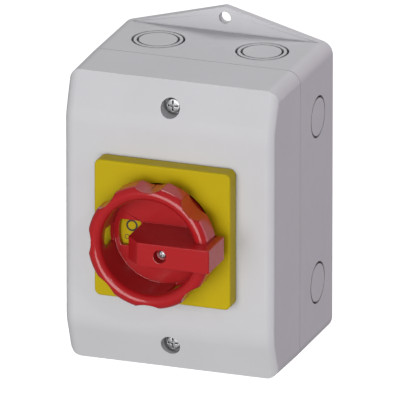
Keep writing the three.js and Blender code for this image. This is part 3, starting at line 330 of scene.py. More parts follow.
def turned(profile, centre=(0, 0), segments=TURN_SEGMENTS, axis="y"):
    """A solid turned about an axis from (radius, height) points; a radius of 0 closes it."""
    rings = []
    for radius, height in profile:
        count = segments if radius > 0 else 1
        angles = [2 * math.pi * i / count for i in range(count)]
        rings.append([
            AXES[axis](centre[0] + radius * math.cos(a), centre[1] + radius * math.sin(a), height)
            for a in angles])
    return loft(rings, closed=profile[0][0] > 0)


def cylinder(radius, from_y, to_y, centre=(0, 0), segments=TURN_SEGMENTS):
    return turned([(0, from_y), (radius, from_y), (radius, to_y), (0, to_y)], centre, segments)


def bake(made):
    """Applies an object's modifiers to its mesh."""
    graph = bpy.context.evaluated_depsgraph_get()
    data = bpy.data.meshes.new_from_object(made.evaluated_get(graph))
    made.modifiers.clear()
    made.data = data


def combine(operation, body, *tools):
    """Applies exact booleans to a solid one after another, and deletes the tools."""
    for tool in tools:
        modifier = body.modifiers.new("boolean", "BOOLEAN")
        modifier.operation = operation
        modifier.solver = "EXACT"
        modifier.object = tool
        bake(body)
        bpy.data.objects.remove(tool)
    return body


def cut(body, *tools):
    return combine("DIFFERENCE", body, *tools)


def join(body, *tools):
    return combine("UNION", body, *tools)


def turn_about_y(made, degrees):
    """Turns a solid about the knob's axis."""
    c, s = math.cos(math.radians(degrees)), math.sin(math.radians(degrees))
    for vertex in made.data.vertices:
        x, y, z = vertex.co
        vertex.co = (x * c + z * s, y, z * c - x * s)
    return made


def merged(made):
    """Merges a solid's coplanar faces, so that its flat zones shade evenly."""
    mesh = bmesh.new()
    mesh.from_mesh(made.data)
    bmesh.ops.dissolve_limit(mesh, angle_limit=FLAT_ANGLE, verts=mesh.verts, edges=mesh.edges)
    mesh.to_mesh(made.data)
    mesh.free()
    return made


def soften(made, width):
    """Rounds the sharp edges of a solid and marks where its shading breaks."""
    for face in made.data.polygons:
        face.use_smooth = True
    bevel = made.modifiers.new("bevel", "BEVEL")
    bevel.width = width
    bevel.segments = BEVEL_SEGMENTS
    bevel.limit_method = "ANGLE"
    bevel.angle_limit = SMOOTH_ANGLE
    bevel.use_clamp_overlap = False
    bevel.miter_outer = "MITER_ARC"
    bake(made)
    made.data.set_sharp_from_angle(angle=SMOOTH_ANGLE)
    return made


# ---------- materials ----------

# Sizes of the materials' features are in metres.
EDGE_WEAR_WIDTH = 0.0005
EDGE_WEAR_RANGE = (1.0, 0.55)       # openness at which the wear starts and is full
RECESS_WIDTH = 0.0022
RECESS_RANGE = (0.45, 0.2)
# painted shade: narrow recesses are darkened in the colour, towards this share of the base colour
RECESS_SHADE_STRENGTH = 0.9
RECESS_SHADE_DARKNESS = 0.12
NOISE_RANGE = (0.3, 0.7)            # the part of a noise that is spread over the whole effect
CLOUD_SIZE = 0.028
MOTTLE_STRENGTH = 0.35
MIX_FIRST, MIX_SECOND, MIX_RESULT = 6, 7, 2     # a mix node's colour sockets
EVEN = (1, 1, 1)


def rgba(colour):
    return (*colour, 1.0)


def scaled(colour, factor):
    return tuple(min(1, channel * factor) for channel in colour)


class Finish:
    """One procedural material, built round a Principled shader in object coordinates."""

    def __init__(self, name, **constants):
        self.material = bpy.data.materials.new(name)
        self.material.use_nodes = True
        self.tree = self.material.node_tree
        self.shader = self.tree.nodes["Principled BSDF"]
        for socket, value in constants.items():
            self.shader.inputs[socket.replace("_", " ")].default_value = value
        self.place = self.tree.nodes.new("ShaderNodeTexCoord").outputs["Object"]

    def node(self, kind, inputs, **settings):
        """A node whose inputs are each a number, a colour or another node's output."""
        made = self.tree.nodes.new(kind)
        for name, value in settings.items():
            setattr(made, name, value)
        for socket, value in inputs.items():
            if isinstance(value, bpy.types.NodeSocket):
                self.tree.links.new(value, made.inputs[socket])
            else:
                made.inputs[socket].default_value = value
        return made

    def noise(self, size, detail=2.0, stretch=EVEN):
        """Noise whose features are about `size` metres across."""
        mapped = self.node("ShaderNodeMapping", {"Vector": self.place, "Scale": stretch})
        return self.node("ShaderNodeTexNoise", {
            "Vector": mapped.outputs["Vector"], "Scale": 1 / size, "Detail": detail,
        }).outputs["Fac"]

    def spread(self, factor, source, target):
        """Maps a range of a factor onto another range."""
        return self.node("ShaderNodeMapRange", {
            "Value": factor, "From Min": source[0], "From Max": source[1],
            "To Min": target[0], "To Max": target[1],
        }).outputs["Result"]

    def mix(self, factor, first, second):
        inputs = {"Factor": factor, MIX_FIRST: first, MIX_SECOND: second}
        return self.node("ShaderNodeMix", inputs, data_type="RGBA").outputs[MIX_RESULT]

    def openness(self, width, inside):
        """How open the space is within a distance, out from the surface or in behind it."""
        return self.node(
            "ShaderNodeAmbientOcclusion", {"Distance": width}, inside=inside, samples=4).outputs["AO"]

    def edges(self, strength):
        """How close the surface is to an outer edge, from 0 to `strength`."""
        return self.spread(self.openness(EDGE_WEAR_WIDTH, True), EDGE_WEAR_RANGE, (0.0, strength))

    def recess_shade(self, strength):
        """How deep the surface lies in a narrow recess, from 0 to `strength`, for the shade painted
        there.
        """
        return self.spread(self.openness(RECESS_WIDTH, False), RECESS_RANGE, (0.0, strength))

    def colour(self, base, variation, worn, wear, grain_size):
        """Base colour with cloudy variation, fine mottling, paler worn edges and painted shade
        darkening narrow recesses.
        """
        pale, deep = rgba(scaled(base, 1 + variation)), rgba(scaled(base, 1 - variation))
        clouds = self.spread(self.noise(CLOUD_SIZE), NOISE_RANGE, (0.0, 1.0))
        mottle = self.spread(self.noise(grain_size, 3.0), NOISE_RANGE, (0.0, MOTTLE_STRENGTH))
        mottled = self.mix(mottle, self.mix(clouds, deep, pale), deep)
        rubbed = self.mix(self.edges(wear), mottled, rgba(worn))
        # painted shade: the colour darkens in narrow recesses, where shade falls
        painted_shade = rgba(scaled(base, RECESS_SHADE_DARKNESS))
        self.link(self.mix(self.recess_shade(RECESS_SHADE_STRENGTH), rubbed, painted_shade), "Base Color")

    def roughness(self, size, target):
        self.link(self.spread(self.noise(size, 4.0), NOISE_RANGE, target), "Roughness")

    def bumps(self, *layers):
        """Stacked bump layers of (size, height, stretch)."""
        normal = None
        for size, height, stretch in layers:
            inputs = {"Height": self.noise(size, 2.0, stretch), "Distance": height, "Strength": 1.0}
            if normal:
                inputs["Normal"] = normal
            normal = self.node("ShaderNodeBump", inputs).outputs["Normal"]
        self.link(normal, "Normal")

    def link(self, output, socket):
        self.tree.links.new(output, self.shader.inputs[socket])


def moulded(name, base, worn, wear, roughness, grain, grain_height, variation=0.03, **constants):
    """Moulded plastic or rubber: clouded colour, rubbed edges and a spark-eroded grain."""
    finish = Finish(name, **constants)
    finish.colour(base, variation, worn, wear, grain_size=0.0011)
    finish.roughness(0.006, roughness)
    finish.bumps((0.02, 0.00004, EVEN), (grain, grain_height, EVEN))
    return finish.material


def metal(name, base, worn, roughness, stretch=EVEN):
    """Plated or rolled metal: uneven tint, fine scratches and brighter rubbed edges."""
    finish = Finish(name, Metallic=1.0)
    finish.colour(base, 0.12, worn, 0.8, grain_size=0.0016)
    finish.roughness(0.0024, roughness)
    finish.bumps((0.0035, 0.00002, EVEN), (0.0004, 0.000006, stretch))
    return finish.material


MOULDED_LOOKS = {
    "grey_plastic": dict(
        base=(0.588, 0.583, 0.606), worn=(0.66, 0.655, 0.68), wear=0.25, roughness=(0.46, 0.58),
        grain=0.0005, grain_height=0.00001, variation=0.02, Specular_IOR_Level=0.25),
    "yellow_plastic": dict(
        base=(0.505, 0.383, 0.004), worn=(0.56, 0.44, 0.02), wear=0.25, roughness=(0.42, 0.54),
        grain=0.0005, grain_height=0.000008, Specular_IOR_Level=0.12),
    "red_plastic": dict(
        base=(0.41, 0.011, 0.014), worn=(0.5, 0.03, 0.04), wear=0.25, roughness=(0.3, 0.38),
        grain=0.0006, grain_height=0.000003, variation=0.02,
        Specular_IOR_Level=0.1, Coat_Weight=0.6, Coat_Roughness=0.1),
    "black_plastic": dict(
        base=(0.018, 0.018, 0.02), worn=(0.06, 0.06, 0.065), wear=0.6, roughness=(0.5, 0.65),
        grain=0.0004, grain_height=0.00002),
    "cream_plastic": dict(
        base=(0.66, 0.61, 0.47), worn=(0.76, 0.72, 0.6), wear=0.5, roughness=(0.42, 0.55),
        grain=0.0005, grain_height=0.000012),
    "seal_rubber": dict(
        base=(0.014, 0.014, 0.015), worn=(0.04, 0.04, 0.04), wear=0.4, roughness=(0.72, 0.9),
        grain=0.0003, grain_height=0.00003),
    "dial_black": dict(
        base=(0.012, 0.012, 0.012), worn=(0.03, 0.03, 0.03), wear=0.3, roughness=(0.4, 0.55),
        grain=0.0003, grain_height=0.000004),
    "dial_olive": dict(
        base=(0.11, 0.075, 0.008), worn=(0.2, 0.14, 0.02), wear=0.3, roughness=(0.4, 0.55),
        grain=0.0003, grain_height=0.000004),
}
METAL_LOOKS = {
    "zinc_steel": dict(base=(0.47, 0.475, 0.49), worn=(0.66, 0.66, 0.68), roughness=(0.4, 0.55)),
    "spring_steel": dict(base=(0.42, 0.42, 0.43), worn=(0.66, 0.66, 0.68), roughness=(0.2, 0.34)),
    "copper": dict(
        base=(0.62, 0.31, 0.19), worn=(0.85, 0.55, 0.4), roughness=(0.22, 0.42), stretch=(1, 1, 6)),
    "brass": dict(base=(0.60, 0.43, 0.17), worn=(0.82, 0.68, 0.36), roughness=(0.24, 0.4)),
}
MATERIALS = {
    **{name: moulded(name, **look) for name, look in MOULDED_LOOKS.items()},
    **{name: metal(name, **look) for name, look in METAL_LOOKS.items()},
}


# ---------- placing ----------

def place(made, name, body, slot, replaced=(), material=None):
    """Scales a finished solid to metres and makes it a piece of the object."""
    made.name = name
    made.data.name = name
    for vertex in made.data.vertices:
        vertex.co *= MM
    made.data.materials.clear()
    made.data.materials.append(MATERIALS[material or slot])
    normals = made.modifiers.new("normals", "WEIGHTED_NORMAL")
    normals.mode = "FACE_AREA_WITH_ANGLE"
    normals.keep_sharp = True
    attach(made, body)
    if replaced:
        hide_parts(*replaced)


def finish_nodes():
    """Gives every CAD node that stays in view the material of its slot."""
    for row in frame["record"]["subparts"]:
        node = frame["nodes"][row["node"]]
        node.data.materials.clear()
        node.data.materials.append(MATERIALS[row["material_slot"]])


# ---------- rear housing ----------

def lug(end):
    """A fixing lug: a low triangle with a round tip whose sides run into the enclosure's corners."""
    body_z = HEIGHT / 2
    corner_x, corner_z = WIDTH / 2 - CORNER_R, body_z - CORNER_R
    drop = HOUSING_HIGH.z - LUG_TIP_R - corner_z
    lean = math.atan2(drop, corner_x) + math.asin((LUG_TIP_R - CORNER_R) / math.hypot(corner_x, drop))
    root_x = corner_x + CORNER_R * math.sin(lean)
    root_z = corner_z + CORNER_R * math.cos(lean)
    apex_z = root_z + root_x * math.tan(lean)
    outline = fillet_outline([
        (corner_x, body_z - WALL / 2, 0), (root_x, root_z, 0), (0, apex_z, LUG_TIP_R),
        (-root_x, root_z, 0), (-corner_x, body_z - WALL / 2, 0)])
    if end < 0:
        outline = [Vector((-u, -v)) for u, v in outline]
    hole_centre = (0, end * (body_z + LUG_HOLE_OUT))
    hole = cylinder(LUG_HOLE_R, -LUG_THICKNESS - OVERSHOOT, OVERSHOOT, hole_centre)
    return cut(prism(outline, [(0, -LUG_THICKNESS), (0, 0)]), hole)


def knockout_groove(axis, side, radius, centre):
    """A ring groove cut from outside along X or Z."""
    face = WIDTH / 2 if axis == "x" else HEIGHT / 2
    inner, floor = radius - GROOVE_WIDTH, face - GROOVE_DEPTH
    profile = [
        (inner, side * floor), (radius, side * floor),
        (radius, side * (face + OVERSHOOT)), (inner, side * (face + OVERSHOOT))]
    return turned(profile, centre, TURN_SEGMENTS, axis)


def knockout_grooves():
    """The rings of two knock-outs in each side, and of two double ones in each end."""
    grooves = []
    for side in (-1, 1):
        for end in (-1, 1):
            top = (side * KNOCKOUT_X, KNOCKOUT_TOP_Y)
            grooves.append(knockout_groove("z", end, M25_RING_R, top))
            grooves.append(knockout_groove("z", end, M20_RING_R, top))
            flank = (KNOCKOUT_SIDE_Y, end * KNOCKOUT_Z)
            grooves.append(knockout_groove("x", side, M20_RING_R, flank))
    return grooves


def rim_frame(outer_inset, inner_inset, y0, y1):
    """A frame that follows the enclosure's rim between two insets."""
    outline = round_rect(WIDTH, HEIGHT, CORNER_R)
    outer = prism(outline, [(outer_inset, y0), (outer_inset, y1)])
    inner = prism(outline, [(inner_inset, y0 - OVERSHOOT), (inner_inset, y1 + OVERSHOOT)])
    return cut(outer, inner)


def parting_shadow_strip():
    """A thin black strip, set back in the gap between the two mouldings, as painted shade in the
    parting line.
    """
    return rim_frame(
        SHADOW_STRIP_SETBACK, TONGUE_INSET - SHADOW_STRIP_PLAY,
        COVER_REAR_Y + SHADOW_STRIP_PLAY, PART_Y - SHADOW_STRIP_PLAY)


def cover_screw_seat():
    """Y of the face that a cover screw's head presses on, and the screw's place along Z."""
    low, high = node_box("cover_screw_top")
    return low.y + COVER_SCREW_HEAD_H + CLEAR, (low.z + high.z) / 2


def cover_screw_posts():
    """The posts that the cover screws are driven into, and their holes."""
    seat_y, screw_z = cover_screw_seat()
    top = seat_y + SCREW_SEAT + CLEAR
    depth = node_box("cover_screw_top")[1].y + OVERSHOOT
    centres = [(0, end * screw_z) for _, end in ENDS]
    posts = [cylinder(SCREW_POST_R, top, POST_ROOT_Y, centre) for centre in centres]
    holes = [cylinder(SCREW_SHANK_HOLE_R, top - OVERSHOOT, depth, centre) for centre in centres]
    return posts, holes


def switch_mount_posts():
    """The posts that carry the switch block, and the holes of its screws."""
    seat = node_box("switch_base")[1].y + CLEAR
    posts, holes = [], []
    for side, _ in SIDES:
        low, high = node_box(f"switch_mount_screw_{side}")
        centre = ((low.x + high.x) / 2, (low.z + high.z) / 2)
        posts.append(cylinder(MOUNT_POST_R, seat, POST_ROOT_Y, centre))
        holes.append(cylinder(MOUNT_HOLE_R, seat - OVERSHOOT, MOUNT_HOLE_END_Y, centre))
    return posts, holes


def terminal_seats():
    """The blocks that the earth and neutral terminals stand on."""
    seats = []
    for terminal in ("earth_terminal", "neutral_terminal"):
        low, high = node_box(terminal)
        seats.append(block(
            low.x, high.x, high.y + CLEAR, POST_ROOT_Y, low.z, high.z, TERMINAL_SEAT_CORNER_R))
    return seats


def rear_housing():
    outline = round_rect(WIDTH, HEIGHT, CORNER_R)
    body = prism(outline, [(0, PART_Y), (0, 0)])
    body = cut(body, prism(outline, [(WALL, PART_Y - OVERSHOOT), (WALL, -BACK_WALL)]))
    tongue = rim_frame(TONGUE_INSET, TONGUE_INSET + TONGUE_WIDTH, TONGUE_TIP_Y, PART_Y + CLEAR)
    screw_posts, screw_holes = cover_screw_posts()
    mount_posts, mount_holes = switch_mount_posts()
    parts = [lug(1), lug(-1), tongue, *screw_posts, *mount_posts, *terminal_seats()]
    return cut(join(body, *parts), *knockout_grooves(), *screw_holes, *mount_holes)


# ---------- front cover ----------

def front_surface_y(z):
    """Y of the cover's front at a height; its top and bottom zones tilt back."""
    return FRONT_Y + max(0, abs(z) - TILT_START_Z) * TILT_SLOPE


def cover_form(inset, front_shift, rear_y):
    """The cover's outer or inner form: tilted ends, round side edges, round corners and draft."""
    half_h = HEIGHT / 2 - inset
    half_w = WIDTH / 2 - inset
    edge_r = SIDE_EDGE_R - inset / 2
    front = FRONT_Y + front_shift
    end_y = front + (half_h - TILT_START_Z) * TILT_SLOPE
    far_y = rear_y + 2 * SIDE_EDGE_R
    side = fillet_outline([
        (far_y, -half_h, 0), (far_y, half_h, 0), (end_y, half_h, 0), (front, TILT_START_Z, FOLD_R),
        (front, -TILT_START_Z, FOLD_R), (end_y, -half_h, 0)])
    across = prism(side, rounded_levels(-half_w, half_w, edge_r, edge_r, SIDE_EDGE_STEPS), "x")
    outline = round_rect(WIDTH, HEIGHT, CORNER_R, COVER_CORNER_STEPS)
    along = prism(outline, [(inset + DRAFT, front - OVERSHOOT), (inset, rear_y)])
    return combine("INTERSECT", across, along)


def cover_screw_columns():
    """The columns that carry the cover screws, trimmed to lie inside the cover's form."""
    seat_y, screw_z = cover_screw_seat()
    start = front_surface_y(screw_z - SCREW_COLUMN_R) + FRONT_WALL - OVERSHOOT
    columns = []
    for _, end in ENDS:
        column = cylinder(SCREW_COLUMN_R, start, seat_y + SCREW_SEAT, (0, end * screw_z))
        trim = cover_form(OVERSHOOT, OVERSHOOT, COVER_REAR_Y)
        columns.append(combine("INTERSECT", column, trim))
    return columns


def cover_screw_bores():
    """A well for each cover screw's head, and a hole for its shank."""
    seat_y, screw_z = cover_screw_seat()
    column_end = seat_y + SCREW_SEAT
    bores = []
    for _, end in ENDS:
        centre = (0, end * screw_z)
        bores.append(cylinder(SCREW_WELL_R, FRONT_Y - OVERSHOOT, seat_y, centre))
        bores.append(cylinder(SCREW_SHANK_HOLE_R, FRONT_Y, column_end + OVERSHOOT, centre))
    return bores


def front_cover():
    inner_front = FRONT_Y + FRONT_WALL
    boss_end = inner_front + BOSS_LENGTH
    inside = cover_form(WALL, FRONT_WALL, COVER_REAR_Y + OVERSHOOT)
    body = cut(cover_form(0, 0, COVER_REAR_Y), inside)
    boss = cylinder(BOSS_R, inner_front - OVERSHOOT, boss_end)
    tools = [
        rim_frame(
            TONGUE_INSET - CLEAR, TONGUE_INSET + TONGUE_WIDTH + CLEAR,
            node_box("cover_gasket")[0].y - CLEAR, COVER_REAR_Y + OVERSHOOT),
        cylinder(STEM_HOLE_R, FRONT_Y - OVERSHOOT, boss_end + OVERSHOOT),
        cylinder(SEAL_POCKET_R, boss_end - SEAL_POCKET_DEPTH, boss_end + OVERSHOOT),
        *cover_screw_bores()]
    for centre in plate_screw_places():
        tools.append(cylinder(
            PLATE_SCREW_HOLE_R, FRONT_Y - OVERSHOOT, inner_front + OVERSHOOT, centre,
            SMALL_HOLE_SEGMENTS))
    return cut(join(body, boss, *cover_screw_columns()), *tools)


# ---------- front plate ----------

def plate_screw_places():
    reach = (PLATE_HIGH.x - PLATE_LOW.x) / 2 - PLATE_SCREW_INSET
    return [(x, z) for x in (-reach, reach) for z in (-reach, reach)]


def front_plate():
    size = PLATE_HIGH.x - PLATE_LOW.x
    step_size = size - 2 * PLATE_RIM
    hollow_size = step_size - 2 * PLATE_LEDGE
    outline = round_rect(size, size, PLATE_CORNER_R)
    step = round_rect(step_size, step_size, PLATE_CORNER_R / 2)
    hollow = round_rect(hollow_size, hollow_size, PLATE_CORNER_R / 2)
    recess_y = PLATE_LOW.y + PLATE_RECESS
    cavity_y = recess_y + PLATE_WEB
    body = prism(outline, rounded_levels(PLATE_LOW.y, PLATE_HIGH.y, PLATE_EDGE_R, 0))
    body = cut(
        body,
        prism(step, [(0, PLATE_HIGH.y - PLATE_GASKET_STEP), (0, PLATE_HIGH.y + OVERSHOOT)]),
        prism(hollow, [(0, cavity_y), (0, PLATE_HIGH.y)]))
    bosses = [cylinder(SEAL_POCKET_R, cavity_y - CLEAR, PLATE_HIGH.y)]
    tools = [
        cylinder(
            PLATE_RECESS_R, PLATE_LOW.y - OVERSHOOT, recess_y, segments=PLATE_RECESS_SEGMENTS),
        cylinder(STEM_HOLE_R, PLATE_LOW.y, PLATE_HIGH.y + OVERSHOOT)]
    for centre in plate_screw_places():
        bosses.append(cylinder(PLATE_BOSS_R, cavity_y - CLEAR, PLATE_HIGH.y, centre))
        tools.append(cylinder(
            PLATE_SCREW_HOLE_R, recess_y + CLEAR, PLATE_HIGH.y + OVERSHOOT, centre,
            SMALL_HOLE_SEGMENTS))
    return cut(join(body, *bosses), *tools)


# ---------- knob ----------

def knob_cup():
    """The knob's neck, grip ring, round crest and floor, turned about its axis."""
    crest_r = (KNOB_GRIP_R - KNOB_CUP_R) / 2
    middle = KNOB_CUP_R + crest_r
    crest_angles = [math.pi * i / CREST_STEPS for i in range(CREST_STEPS + 1)]
    crest = [
        (middle + crest_r * math.cos(a), CREST_Y + crest_r * (1 - math.sin(a))) for a in crest_angles]
    lip_angles = [math.pi / 2 * i / GRIP_LIP_STEPS for i in range(GRIP_LIP_STEPS + 1)]
    lip = [
        (KNOB_GRIP_R - GRIP_LIP_R * (1 - math.sin(a)), GRIP_Y - GRIP_LIP_R * (1 - math.cos(a)))
        for a in lip_angles]
    profile = [
        (0, KNOB_BACK_Y), (KNOB_NECK_R, KNOB_BACK_Y), (KNOB_NECK_R, GRIP_Y), *lip, *crest,
        (KNOB_CUP_R, KNOB_FLOOR_Y), (0, KNOB_FLOOR_Y)]
    return turned(profile, segments=KNOB_SEGMENTS)


def knob_bar():
    """The pointer bar, chamfered at its heel and cut away behind its tip."""
    root = (KNOB_FLOOR_Y + KNOB_BACK_Y) / 2
    inner_x = (KNOB_CUP_R + KNOB_NECK_R) / 2
    tip_back = BAR_Y + BAR_TIP_DROP
    outline = fillet_outline([
        (BAR_HEEL_X, root, 0), (inner_x, root, 0), (inner_x, tip_back, 0),
        (BAR_TIP_X, tip_back, BAR_TIP_BACK_R), (BAR_TIP_X, BAR_Y, BAR_TIP_TOP_R),
        (BAR_HEEL_X + BAR_CHAMFER_X, BAR_Y, BAR_TOP_R),
        (BAR_HEEL_X, BAR_Y + BAR_CHAMFER_Y, BAR_TOP_R)], BAR_ARC_STEPS)
    outline.reverse()
    half = BAR_WIDTH / 2
    levels = rounded_levels(-half, half, BAR_EDGE_R, BAR_EDGE_R, BAR_EDGE_STEPS)
    return prism(outline, levels, "z")


def knob_window():
    """The window in the cup's floor that shows the switch's position."""
    strip = block(
        -WINDOW_OUTER_R - OVERSHOOT, -WINDOW_INNER_X, KNOB_FLOOR_Y - OVERSHOOT,
        KNOB_BACK_Y + OVERSHOOT, WINDOW_BOTTOM, WINDOW_TOP, WINDOW_CORNER_R)
    disc = cylinder(WINDOW_OUTER_R, KNOB_FLOOR_Y - 2 * OVERSHOOT, KNOB_BACK_Y + 2 * OVERSHOOT)
    return combine("INTERSECT", strip, disc)


def knob_scallops():
    """Cutters for the hollows round the grip ring."""
    distance = KNOB_GRIP_R - SCALLOP_DEPTH + SCALLOP_R
    scallops = []
    for i in range(SCALLOPS):
        angle = 2 * math.pi * i / SCALLOPS
        centre = (distance * math.cos(angle), distance * math.sin(angle))
        scallops.append(
            cylinder(SCALLOP_R, CREST_Y - OVERSHOOT, GRIP_Y + OVERSHOOT, centre, SCALLOP_SEGMENTS))
    return scallops


def padlock_slots():
    """Cutters for the slots that let a padlock's shackle through the neck."""
    near, half = KNOB_FLOOR_Y - OVERSHOOT, PADLOCK_SLOT_WIDTH / 2
    far = near - PADLOCK_SLOT_HEIGHT
    corners = [(far, -half), (near, -half), (near, half), (far, half)]
    outline = fillet_outline(
        [(y, z, PADLOCK_SLOT_CORNER_R) for y, z in corners], PADLOCK_SLOT_STEPS)
    levels = [(0, KNOB_CUP_R - OVERSHOOT), (0, KNOB_NECK_R + OVERSHOOT)]
    return [
        turn_about_y(prism(outline, levels, "x"), PADLOCK_FIRST_ANGLE + 360 * i / PADLOCK_SLOTS)
        for i in range(PADLOCK_SLOTS)]


def hub_pocket():
    """Cutters for the hub's pocket and for the well and hole of the screw that holds it."""
    front = node_box("knob_hub")[0].y
    low, high = node_box("knob_screw")
    centre = ((low.x + high.x) / 2, 0)
    half = HUB_WIDTH / 2 + CLEAR
    return [
        block(
            HUB_LOW_X - CLEAR, HUB_HIGH_X + CLEAR, front - CLEAR, KNOB_BACK_Y + OVERSHOOT,
            -half, half),
        cylinder(KNOB_WELL_R, BAR_Y - OVERSHOOT, low.y + KNOB_SCREW_HEAD_H + CLEAR, centre),
        cylinder(
            KNOB_SCREW_SHANK_R + CLEAR, BAR_Y, front + OVERSHOOT, centre,
            KNOB_SCREW_HOLE_SEGMENTS)]


def knob():
    cup = cut(knob_cup(), knob_window(), *knob_scallops(), *padlock_slots())
    return cut(join(cup, knob_bar()), *hub_pocket())


# ---------- dial marks ----------

MARK_HEIGHT = 0.08
OFF_MARK = (-15.5, 2.35)
OFF_MARK_R = 2.85
OFF_MARK_STROKE = 0.85
ON_MARK = (-2.35, 15.5)     # where the window's same corner is once the knob has turned to on
ON_MARK_SIZE = (0.95, 5.7)
ON_MARK_CORNER_R = 0.2
PIP = (-17.9, -3.5)
PIP_R = 1.25
PIP_STROKE = 0.4
DIAL_FLOOR_Y = PLATE_LOW.y + PLATE_RECESS
DIAL_FRONT_Y = DIAL_FLOOR_Y - MARK_HEIGHT


def flat_ring(centre, outer_r, stroke):
    inner_r = outer_r - stroke
    return turned([
        (inner_r, DIAL_FRONT_Y), (outer_r, DIAL_FRONT_Y),
        (outer_r, DIAL_FLOOR_Y), (inner_r, DIAL_FLOOR_Y)], centre)


def on_mark():
    (x, z), (width, height) = ON_MARK, ON_MARK_SIZE
    return block(
        x - width / 2, x + width / 2, DIAL_FRONT_Y, DIAL_FLOOR_Y,
        z - height / 2, z + height / 2, ON_MARK_CORNER_R)


# ---------- screws ----------

SCREW_SEGMENTS = 64
DOME_STEPS = 6
DOME_REACH = 0.94           # these four are shares of the head's radius
HEAD_EDGE_DROP = 0.08
DRIVE_REACH = 0.72
DRIVE_HALF_WIDTH = 0.14
DRIVE_DEPTH = 0.5           # share of the head's height
POINT_LENGTH = 0.6          # share of the shank's radius


def screw(node, head_h, shank_r, dome=0.15):
    """A screw along Y in the place of a CAD one, with a domed head and a cross recess."""
    low, high = node_box(node)
    x, z = (low.x + high.x) / 2, (low.z + high.z) / 2
    head_r = (high.x - low.x) / 2
    rise = head_h * dome
    angles = [math.pi / 2 * i / DOME_STEPS for i in range(DOME_STEPS + 1)]
    body = turned([
        *[(head_r * DOME_REACH * math.sin(a), low.y + rise * (1 - math.cos(a))) for a in angles],
        (head_r, low.y + rise + head_r * HEAD_EDGE_DROP), (head_r, low.y + head_h),
        (shank_r, low.y + head_h), (shank_r, high.y - shank_r * POINT_LENGTH), (0, high.y),
    ], (x, z), SCREW_SEGMENTS)
    half, reach = head_r * DRIVE_HALF_WIDTH, head_r * DRIVE_REACH
    front, depth = low.y - OVERSHOOT, low.y + head_h * DRIVE_DEPTH
    return cut(
        body,
        block(x - half, x + half, front, depth, z - reach, z + reach),
        block(x - reach, x + reach, front, depth, z - half, z + half))


# ---------- building ----------

MOULDING_BEVEL = 0.06
PLATE_BEVEL = 0.2
KNOB_BEVEL = 0.3
MARK_BEVEL = 0.02
COVER_SCREW_BEVEL = 0.12
KNOB_SCREW_BEVEL = 0.06
KNOB_SCREW_DOME = 0.45


def build_mouldings():
    place(soften(merged(rear_housing()), MOULDING_BEVEL),
          "housing_moulding", "housing", "grey_plastic", ["rear_housing"])
    # painted shade: a black strip in the parting gap darkens it
    place(parting_shadow_strip(), "parting_shadow_strip", "housing", "seal_rubber")
    place(soften(merged(front_cover()), MOULDING_BEVEL),
          "cover_moulding", "cover", "grey_plastic", ["front_cover"])
    place(soften(front_plate(), PLATE_BEVEL),
          "plate_moulding", "cover", "yellow_plastic", ["front_plate"])
    place(soften(knob(), KNOB_BEVEL), "knob_moulding", "handle", "red_plastic", ["knob"])


def build_dial():
    for name, mark, ink in (
            ("dial_mark_off", flat_ring(OFF_MARK, OFF_MARK_R, OFF_MARK_STROKE), "dial_black"),
            ("dial_mark_on", on_mark(), "dial_black"),
            ("dial_pip", flat_ring(PIP, PIP_R, PIP_STROKE), "dial_olive")):
        place(soften(mark, MARK_BEVEL), name, "cover", "yellow_plastic", material=ink)


def build_screws():
    for end, _ in ENDS:
        node = f"cover_screw_{end}"
        fixing = screw(node, COVER_SCREW_HEAD_H, COVER_SCREW_SHANK_R)
        place(soften(fixing, COVER_SCREW_BEVEL), f"cover_fixing_{end}", "cover", "zinc_steel", [node])
    fixing = screw("knob_screw", KNOB_SCREW_HEAD_H, KNOB_SCREW_SHANK_R, KNOB_SCREW_DOME)
    place(soften(fixing, KNOB_SCREW_BEVEL), "knob_fixing", "handle", "zinc_steel", ["knob_screw"])


build_mouldings()
build_dial()
build_screws()
finish_nodes()


# ---------- stage, light and camera ----------

FLOOR_DROP = 0.30           # metres below the object
FLOOR_SIZE = 30.0
FLOOR_GLOW = 0.62
FLOOR_TINTS = ((0.80, 0.80, 0.80), (0.83, 0.83, 0.83))
FLOOR_CLOUD_SIZE = 0.4
VIEW_AZIMUTH = 19.70        # degrees
VIEW_ELEVATION = 19.70
VIEW_DISTANCE = 8.0
VIEW_WIDTH = 0.18723        # metres across the picture at the object
VIEW_RIGHT = 0.01486        # picture centre from the middle of the cover's front
VIEW_UP = 0.0136
VIEW_CLIP = (0.1, 60)
SENSOR = 36.0
BACKDROP_STRENGTH = 1.2
AMBIENT_STRENGTH = 0.25


def floor():
    """A plain pale floor, lit a little from within and left out of the object's reflections."""
    half = FLOOR_SIZE / 2
    z = CAD_LOW.z - FLOOR_DROP
    corners = [(-half, -half, z), (half, -half, z), (half, half, z), (-half, half, z)]
    data = bpy.data.meshes.new("floor")
    data.from_pydata(corners, [], [(0, 1, 2, 3)])
    made = bpy.data.objects.new("floor", data)
    bpy.context.collection.objects.link(made)
    finish = Finish(
        "floor", Roughness=0.9, Emission_Color=(1, 1, 1, 1), Emission_Strength=FLOOR_GLOW)
    clouds = finish.spread(finish.noise(FLOOR_CLOUD_SIZE), NOISE_RANGE, (0.0, 1.0))
    finish.link(finish.mix(clouds, *map(rgba, FLOOR_TINTS)), "Base Color")
    data.materials.append(finish.material)
    made.visible_diffuse = False
    made.visible_glossy = False


def towards(azimuth, elevation):
    a, e = math.radians(azimuth), math.radians(elevation)
    return Vector((math.sin(a) * math.cos(e), -math.cos(a) * math.cos(e), math.sin(e)))


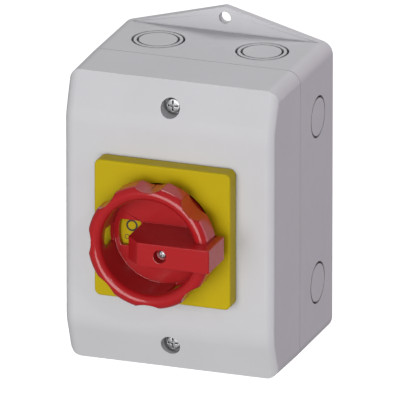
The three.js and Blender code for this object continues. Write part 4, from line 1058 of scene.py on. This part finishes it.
def softbox(name, azimuth, elevation, distance, size, irradiance, colour=(1, 1, 1)):
    """A square area light that faces the object and gives it an irradiance of that many times pi."""
    lamp = bpy.data.lights.new(name, "AREA")
    lamp.color = colour
    lamp.size = size
    lamp.energy = irradiance * math.pi ** 2 * distance ** 2
    made = bpy.data.objects.new(name, lamp)
    direction = towards(azimuth, elevation)
    made.location = (CAD_LOW + CAD_HIGH) / 2 + direction * distance
    made.rotation_euler = (-direction).to_track_quat("-Z", "Y").to_euler()
    bpy.context.collection.objects.link(made)


def world():
    """A white backdrop that lights the object with only part of its brightness."""
    made = bpy.data.worlds.new("studio")
    made.use_nodes = True
    nodes = made.node_tree.nodes
    seen = nodes.new("ShaderNodeLightPath").outputs["Is Camera Ray"]
    strength = nodes.new("ShaderNodeMapRange")
    strength.inputs["To Min"].default_value = AMBIENT_STRENGTH
    strength.inputs["To Max"].default_value = BACKDROP_STRENGTH
    made.node_tree.links.new(seen, strength.inputs["Value"])
    nodes["Background"].inputs["Color"].default_value = (1, 1, 1, 1)
    made.node_tree.links.new(strength.outputs["Result"], nodes["Background"].inputs["Strength"])
    bpy.context.scene.world = made


def camera():
    """A long lens at the picture's angle, aimed a little off the middle of the cover's front."""
    back = towards(VIEW_AZIMUTH, VIEW_ELEVATION)
    right = Vector((0, 0, 1)).cross(back).normalized()
    up = back.cross(right)
    target = Vector((0, FRONT_Y * MM, 0)) + VIEW_RIGHT * right + VIEW_UP * up
    lens = bpy.data.cameras.new("camera")
    lens.sensor_width = SENSOR
    lens.lens = SENSOR * VIEW_DISTANCE / VIEW_WIDTH
    lens.clip_start, lens.clip_end = VIEW_CLIP
    made = bpy.data.objects.new("camera", lens)
    made.location = target + back * VIEW_DISTANCE
    made.rotation_euler = (-back).to_track_quat("-Z", "Y").to_euler()
    bpy.context.collection.objects.link(made)
    bpy.context.scene.camera = made


floor()
world()
softbox("front_light", azimuth=2, elevation=4, distance=2.4, size=1.7, irradiance=0.97)
softbox(
    "side_light", azimuth=118, elevation=8, distance=2.4, size=1.5, irradiance=0.28,
    colour=(1, 0.84, 1))
softbox("top_light", azimuth=180, elevation=55, distance=2.0, size=1.0, irradiance=0.44)
softbox("glint_light", azimuth=34, elevation=28, distance=2.0, size=0.12, irradiance=0.06)
camera()
bpy.context.scene.view_settings.view_transform = "Standard"
